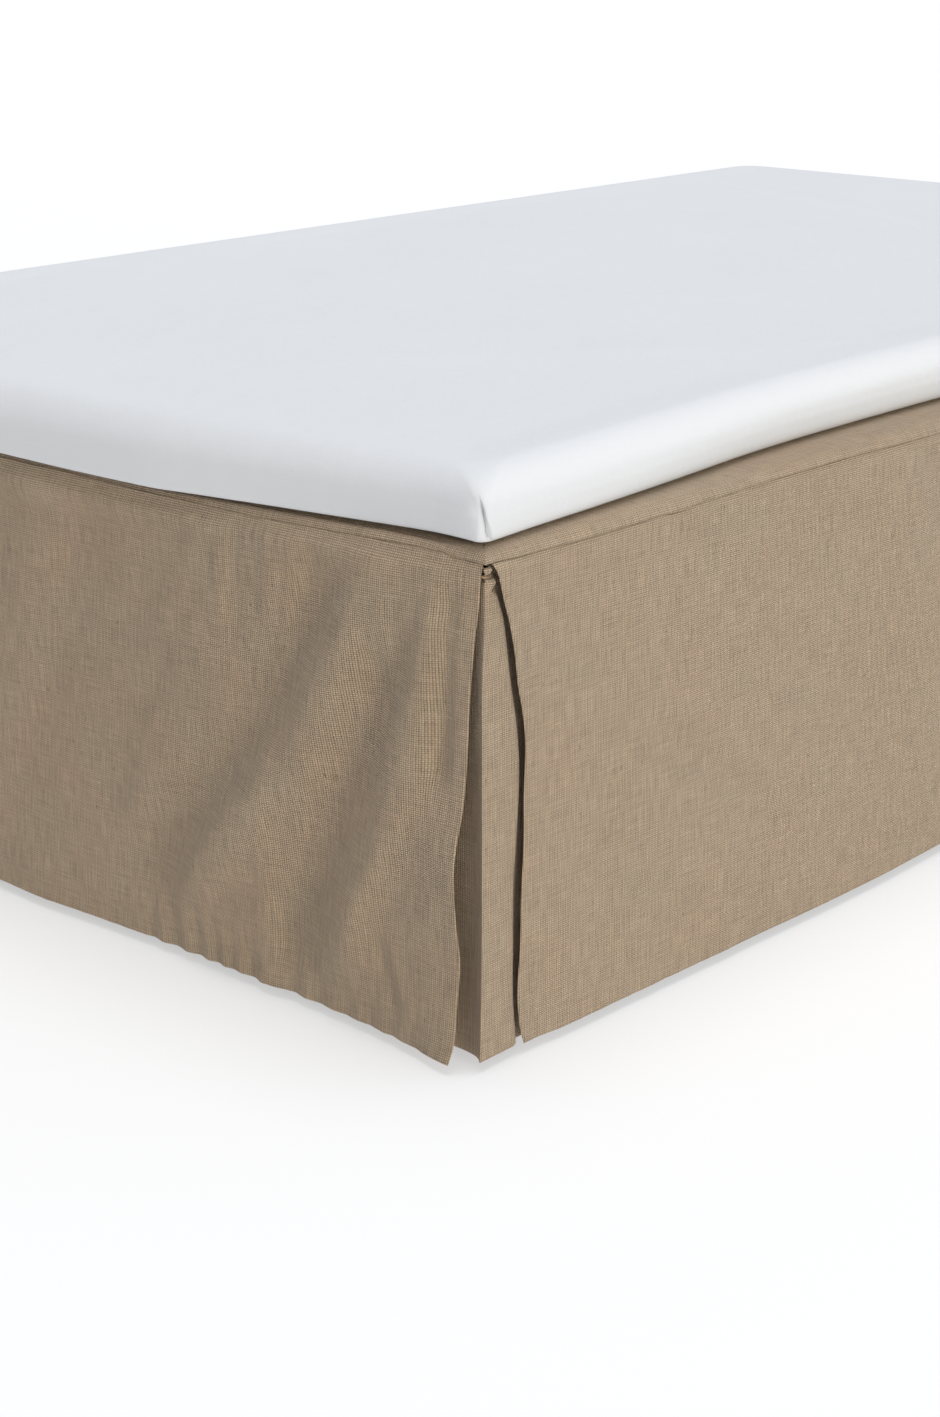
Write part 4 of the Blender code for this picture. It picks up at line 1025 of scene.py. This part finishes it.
def inside_points(inset, spacing):
    """Evenly set plan places inside the ring at one distance in from the edge."""
    radius = TOPPER_CORNER + TOPPER_CORNER_GROWTH * inset
    half = SIDE_X - inset
    low, high = FOOT_Y + inset, HEAD_Y - inset
    clear = 0.6 * spacing
    places = []
    for x in spread(-half + clear, half - clear, spacing) + [half - clear]:
        for y in spread(low + clear, high - clear, spacing) + [high - clear]:
            corner_x = abs(x) - (half - radius)
            corner_y = max(low + radius - y, y - high + radius)
            if corner_x > 0 and corner_y > 0 and math.hypot(corner_x, corner_y) > radius - clear:
                continue
            places.append((x, y))
    return places


def make_topper():
    """Thin mattress in its white sheet: soft edges, tucked corner, and the faint wrinkles on top."""
    section = [(p.inset, TOPPER_BOTTOM + p.rise, 1 - smoothstep(p.inset / 0.016), p.foot_lift) for p in LIP]
    wall_low = TOPPER_BOTTOM + LIP[-1].rise
    wall_top = TOPPER_TOP - TOPPER_CROWN
    for n in range(1, 5):
        share = n / 5
        bulge = -0.0004 * math.sin(math.pi * share)
        section.append((bulge, wall_low + (wall_top - wall_low) * share, 1 - 0.25 * share, 0.0))
    for n in range(15):
        turn = math.pi / 2 * n / 14
        drop = TOPPER_CROWN * (1 - math.sin(turn))
        inset = CROWN_INSET * (1 - math.cos(turn))
        section.append((inset, TOPPER_TOP - 0.0002 - drop, 0.75 * (1 - n / 14), 0.0))
    shape = bmesh.new()
    rings = []
    resting = []
    for (x, y, a, b), (rest_x, rest_y, *_) in zip(topper_ring(0), topper_ring(TOPPER_REST)):
        overhang = follow(FOOT_LIE, (SIDE_X - x) * 1000, "outward") / 1000 + BAND_ROLL / 1000 - 0.001
        extra = max(0.0, overhang - TOPPER_REST) * max(b, 0.0)
        resting.append((rest_x, rest_y + extra))
    rings.append([shape.verts.new((*laid(x, y), TOPPER_BOTTOM)) for x, y in resting])
    for inset, height, sink, foot_lift in section:
        ring = []
        for x, y, a, b in topper_ring(inset):
            px, py = laid(x, y)
            pz = height + foot_lift * max(b, 0.0) - foot_droop(x, y) * sink
            swell = 0.0006 * wave(px * 9 + py * 9, pz * 25, 60) * smoothstep((height - wall_low) / 0.015)
            deep = corner_fold(px, py, pz) + swell
            ring.append(shape.verts.new((px + a * deep, py + b * deep, pz)))
        rings.append(ring)
    for low, high in zip(rings, rings[1:]):
        for n in range(len(low)):
            m = (n + 1) % len(low)
            shape.faces.new((low[n], low[m], high[m], high[n]))
    crown = [(s[0], s[1]) for s in topper_ring(CROWN_INSET)]
    caps = ((resting, rings[0], []), (crown, rings[-1], inside_points(CROWN_INSET, TOP_SPACING)))
    for outline, ring, inner in caps:
        flat = [Vector(place) for place in outline + inner]
        cut = geometry.delaunay_2d_cdt(flat, [], [list(range(len(outline)))], 1, 1e-7)
        corners = list(ring)
        for x, y in inner:
            px, py = laid(x, y)
            from_edge = min(SIDE_X - abs(x), y - FOOT_Y, HEAD_Y - y) - CROWN_INSET
            corners.append(shape.verts.new((px, py, top_height(px, py, from_edge))))
        for face in cut[2]:
            shape.faces.new([corners[cut[3][n][0]] for n in face])
    bmesh.ops.recalc_face_normals(shape, faces=shape.faces[:])
    mesh = bpy.data.meshes.new("topper_in_sheet")
    shape.to_mesh(mesh)
    shape.free()
    mesh.shade_smooth()
    mesh.set_sharp_from_angle(angle=math.radians(75))
    mesh.materials.append(SHEET)
    piece = bpy.data.objects.new("topper_in_sheet", mesh)
    bpy.context.scene.collection.objects.link(piece)
    finish_piece(piece, "white_sheet", "topper")
    return piece


def rounded_outline(half_x, low_y, high_y, radius, steps, run_step):
    """Plan outline with round corners and points along its straight runs."""
    centres = [
        (half_x - radius, high_y - radius), (-half_x + radius, high_y - radius),
        (-half_x + radius, low_y + radius), (half_x - radius, low_y + radius),
    ]
    corners = []
    for turn, (x, y) in enumerate(centres):
        arc = [math.pi / 2 * (turn + n / steps) for n in range(steps + 1)]
        corners.append([(x + radius * math.cos(a), y + radius * math.sin(a)) for a in arc])
    points = []
    for n, corner in enumerate(corners):
        points += corner
        start, end = corner[-1], corners[(n + 1) % 4][0]
        count = int(math.dist(start, end) / run_step)
        for k in range(1, count):
            points.append(tuple(a + (b - a) * k / count for a, b in zip(start, end)))
    return points


def make_base():
    """Upholstered bed base with soft edges and a piped line round its lower rim."""
    low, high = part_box("bed_base")
    centre_low, centre_high = low.y, high.y
    half_x = high.x
    section = [(0.010, low.z), (0.004, low.z + 0.0012), (0.0012, low.z + 0.0045)]
    section += [(0.0006, low.z + 0.008), (0.0022, low.z + 0.0105), (0.0006, low.z + 0.0135)]
    wall_low, wall_high = low.z + 0.0135, high.z - 0.018
    for n in range(1, 9):
        section.append((0.0006, wall_low + (wall_high - wall_low) * n / 9))
    for n in range(9):
        turn = math.pi / 2 * n / 8
        section.append((0.018 * (1 - math.cos(turn)), high.z - 0.018 * (1 - math.sin(turn))))
    rings = []
    for inset, height in section:
        radius = 0.030 - min(inset, 0.02)
        outline = rounded_outline(half_x - inset, centre_low + inset, centre_high - inset, radius, 6, 0.05)
        ring = []
        for x, y in outline:
            sag = 0.0006 * (1 + wave(x * 6 + y * 6, height * 9, 70))
            ring.append((x * (1 - sag), y - sag * 0.5 * math.copysign(1, y), height))
        rings.append(ring)
    piece = body_from_rings("bed_base_cover", rings, COVER)
    piece.data.materials.append(DUST_CLOTH)
    for face in piece.data.polygons:
        if face.normal.z < -0.9:
            face.material_index = 1
    return finish_piece(piece, "base_cover", "bed_base")


def make_leg(number):
    """Turned tapered leg with a small shoulder and a felt glide."""
    low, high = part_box(f"bed_leg_{number}")
    x, y = (low.x + high.x) / 2, (low.y + high.y) / 2
    radius = (high.x - low.x) / 2
    profile = [
        (0.0185, 0.0030), (0.0200, 0.0035), (0.0212, 0.0050), (0.0218, 0.0080), (0.0235, 0.035),
        (0.0255, 0.075),
        (0.0274, 0.104), (0.0285, 0.1075), (0.0272, 0.1090), (0.0272, 0.1110), (radius - 0.0003, 0.1130),
        (radius, 0.1160), (radius - 0.0004, high.z - 0.0006), (radius - 0.0020, high.z),
    ]
    sides = 36
    turns = [2 * math.pi * n / sides for n in range(sides)]
    rings = [[(x + r * math.cos(a), y + r * math.sin(a), z) for a in turns] for r, z in profile]
    leg = body_from_rings(f"turned_leg_{number}", rings, WOOD, sharp=50)
    finish_piece(leg, "leg_wood", f"bed_leg_{number}")
    pad = [(0.0180, 0.0), (0.0192, 0.0008), (0.0192, 0.0024), (0.0185, 0.0029)]
    rings = [[(x + r * math.cos(a), y + r * math.sin(a), z) for a in turns] for r, z in pad]
    glide = body_from_rings(f"leg_glide_{number}", rings, GLIDE, sharp=50)
    return finish_piece(glide, "leg_wood")


def make_stitches(side):
    """Row of small stitches that hold the turned side hems beside a drop's free edges."""
    panel = PANELS[side]
    thread = bmesh.new()
    rows = [SIDE_HEM] if panel.far_edge is None else [SIDE_HEM, panel.length - SIDE_HEM]
    pitch, length, thick = 3.2, 2.3, 0.17
    for place in rows:
        for n in range(int((NOMINAL_DROP - 14) / pitch)):
            ends = [drop_surface(panel, place, 6 + n * pitch + k * length, None)[:3] for k in (0, 0.5, 1)]
            loops = []
            for k, (along, outward, height) in enumerate(ends):
                lift = (0.02, 0.20, 0.02)[k]
                ring = []
                for m in range(6):
                    angle = 2 * math.pi * m / 6
                    across = thick * math.cos(angle) * (0.6 if k != 1 else 1)
                    out = outward + lift + thick * 0.8 * math.sin(angle)
                    ring.append(thread.verts.new(panel.place(along + across, out, height)))
                loops.append(ring)
            for low, high in zip(loops, loops[1:]):
                for m in range(6):
                    thread.faces.new((low[m], low[(m + 1) % 6], high[(m + 1) % 6], high[m]))
            thread.faces.new(loops[0])
            thread.faces.new(loops[-1])
    bmesh.ops.recalc_face_normals(thread, faces=thread.faces[:])
    mesh = bpy.data.meshes.new(f"{side}_stitches")
    thread.to_mesh(mesh)
    thread.free()
    mesh.shade_smooth()
    mesh.materials.append(THREAD)
    piece = bpy.data.objects.new(f"{side}_stitches", mesh)
    bpy.context.scene.collection.objects.link(piece)
    return finish_piece(piece, "skirt_canvas")


def threaded(name, colour):
    g = Graph(name)
    twist = g.noise(g.object_place(), 2600.0, 2.0)
    g.put(g.tint(tuple(colour), g.math("MULTIPLY_ADD", twist, 0.5, 0.75)), g.shader.inputs["Base Color"])
    g.shader.inputs["Roughness"].default_value = 0.7
    g.bump(twist, 0.0001)
    return g.material


THREAD = threaded("sewing thread", THREAD_COLOUR)


FLOOR_GLOW = 0.50


def make_floor():
    """Plain pale floor."""
    size = 60.0
    mesh = bpy.data.meshes.new("floor")
    corners = [(-size, -size, 0), (size, -size, 0), (size, size, 0), (-size, size, 0)]
    mesh.from_pydata(corners, [], [(0, 1, 2, 3)])
    g = Graph("pale floor")
    cloudy = g.noise(g.object_place(), 3.0, 2.0)
    shade = g.math("MULTIPLY_ADD", cloudy, 0.01, 0.995)
    g.put(g.tint((0.46, 0.46, 0.46), shade), g.shader.inputs["Base Color"])
    g.shader.inputs["Roughness"].default_value = 0.9
    g.shader.inputs["Emission Color"].default_value = (1, 1, 1, 1)
    g.shader.inputs["Emission Strength"].default_value = FLOOR_GLOW
    mesh.materials.append(g.material)
    floor = bpy.data.objects.new("floor", mesh)
    bpy.context.scene.collection.objects.link(floor)


Lamp = namedtuple("Lamp", "name direction strength spread colour")
LAMPS = [
    Lamp("overhead", (0.0, 0.06, 1.0), 1.50, 40.0, (1.0, 1.0, 1.0)),
    Lamp("key", (0.92, -0.30, 0.24), 1.26, 20.0, (1.0, 0.945, 0.79)),
]
SKY = 0.50
SKY_TILT = (0.25, 0.42, 0.0)
SKY_COLOUR = (0.95, 1.0, 1.09)


def make_light():
    """Soft studio light: a sky dimmer in front, one broad light overhead and one low from the right."""
    world = bpy.data.worlds.new("studio")
    world.use_nodes = True
    tree = world.node_tree
    background = tree.nodes["Background"]
    place = tree.nodes.new("ShaderNodeTexCoord")
    toward = tree.nodes.new("ShaderNodeVectorMath")
    toward.operation = "DOT_PRODUCT"
    toward.inputs[1].default_value = SKY_TILT
    level = tree.nodes.new("ShaderNodeMath")
    level.operation = "MULTIPLY_ADD"
    level.inputs[1].default_value = SKY
    level.inputs[2].default_value = SKY
    tree.links.new(place.outputs["Generated"], toward.inputs[0])
    tree.links.new(toward.outputs["Value"], level.inputs[0])
    tree.links.new(level.outputs[0], background.inputs["Strength"])
    background.inputs["Color"].default_value = (*SKY_COLOUR, 1)
    bpy.context.scene.world = world
    for name, direction, strength, spread_angle, colour in LAMPS:
        lamp = bpy.data.lights.new(name, "SUN")
        lamp.energy = strength
        lamp.angle = math.radians(spread_angle)
        lamp.color = colour
        made = bpy.data.objects.new(name, lamp)
        made.rotation_mode = "QUATERNION"
        made.rotation_quaternion = Vector(direction).to_track_quat("Z", "Y")
        bpy.context.scene.collection.objects.link(made)


def make_camera():
    lens = SENSOR * PHOTO_FOCAL / PHOTO_HEIGHT
    data = bpy.data.cameras.new("photo camera")
    data.sensor_width = SENSOR
    data.sensor_fit = "AUTO"
    data.lens = lens
    data.clip_start = 0.05
    data.clip_end = 60
    camera = bpy.data.objects.new("photo camera", data)
    dx, dy, dz = CAMERA_FROM_CORNER
    camera.location = (SIDE_X + dx, FOOT_Y + dy, dz)
    camera.rotation_euler = (math.pi / 2 - CAMERA_PITCH, 0, CAMERA_TURN)
    bpy.context.scene.collection.objects.link(camera)
    bpy.context.scene.camera = camera


make_camera()
make_light()
make_floor()
make_base()
for leg_number in range(1, 7):
    make_leg(leg_number)
make_deck()
for panel_side in PANELS:
    make_band(panel_side)
    make_drop(panel_side)
    make_stitches(panel_side)
make_gusset("right", RIGHT_CREASE, 1, 80)
make_gusset("left", LEFT_CREASE, -1, 81)
make_topper()
bpy.context.scene.view_settings.view_transform = "Standard"
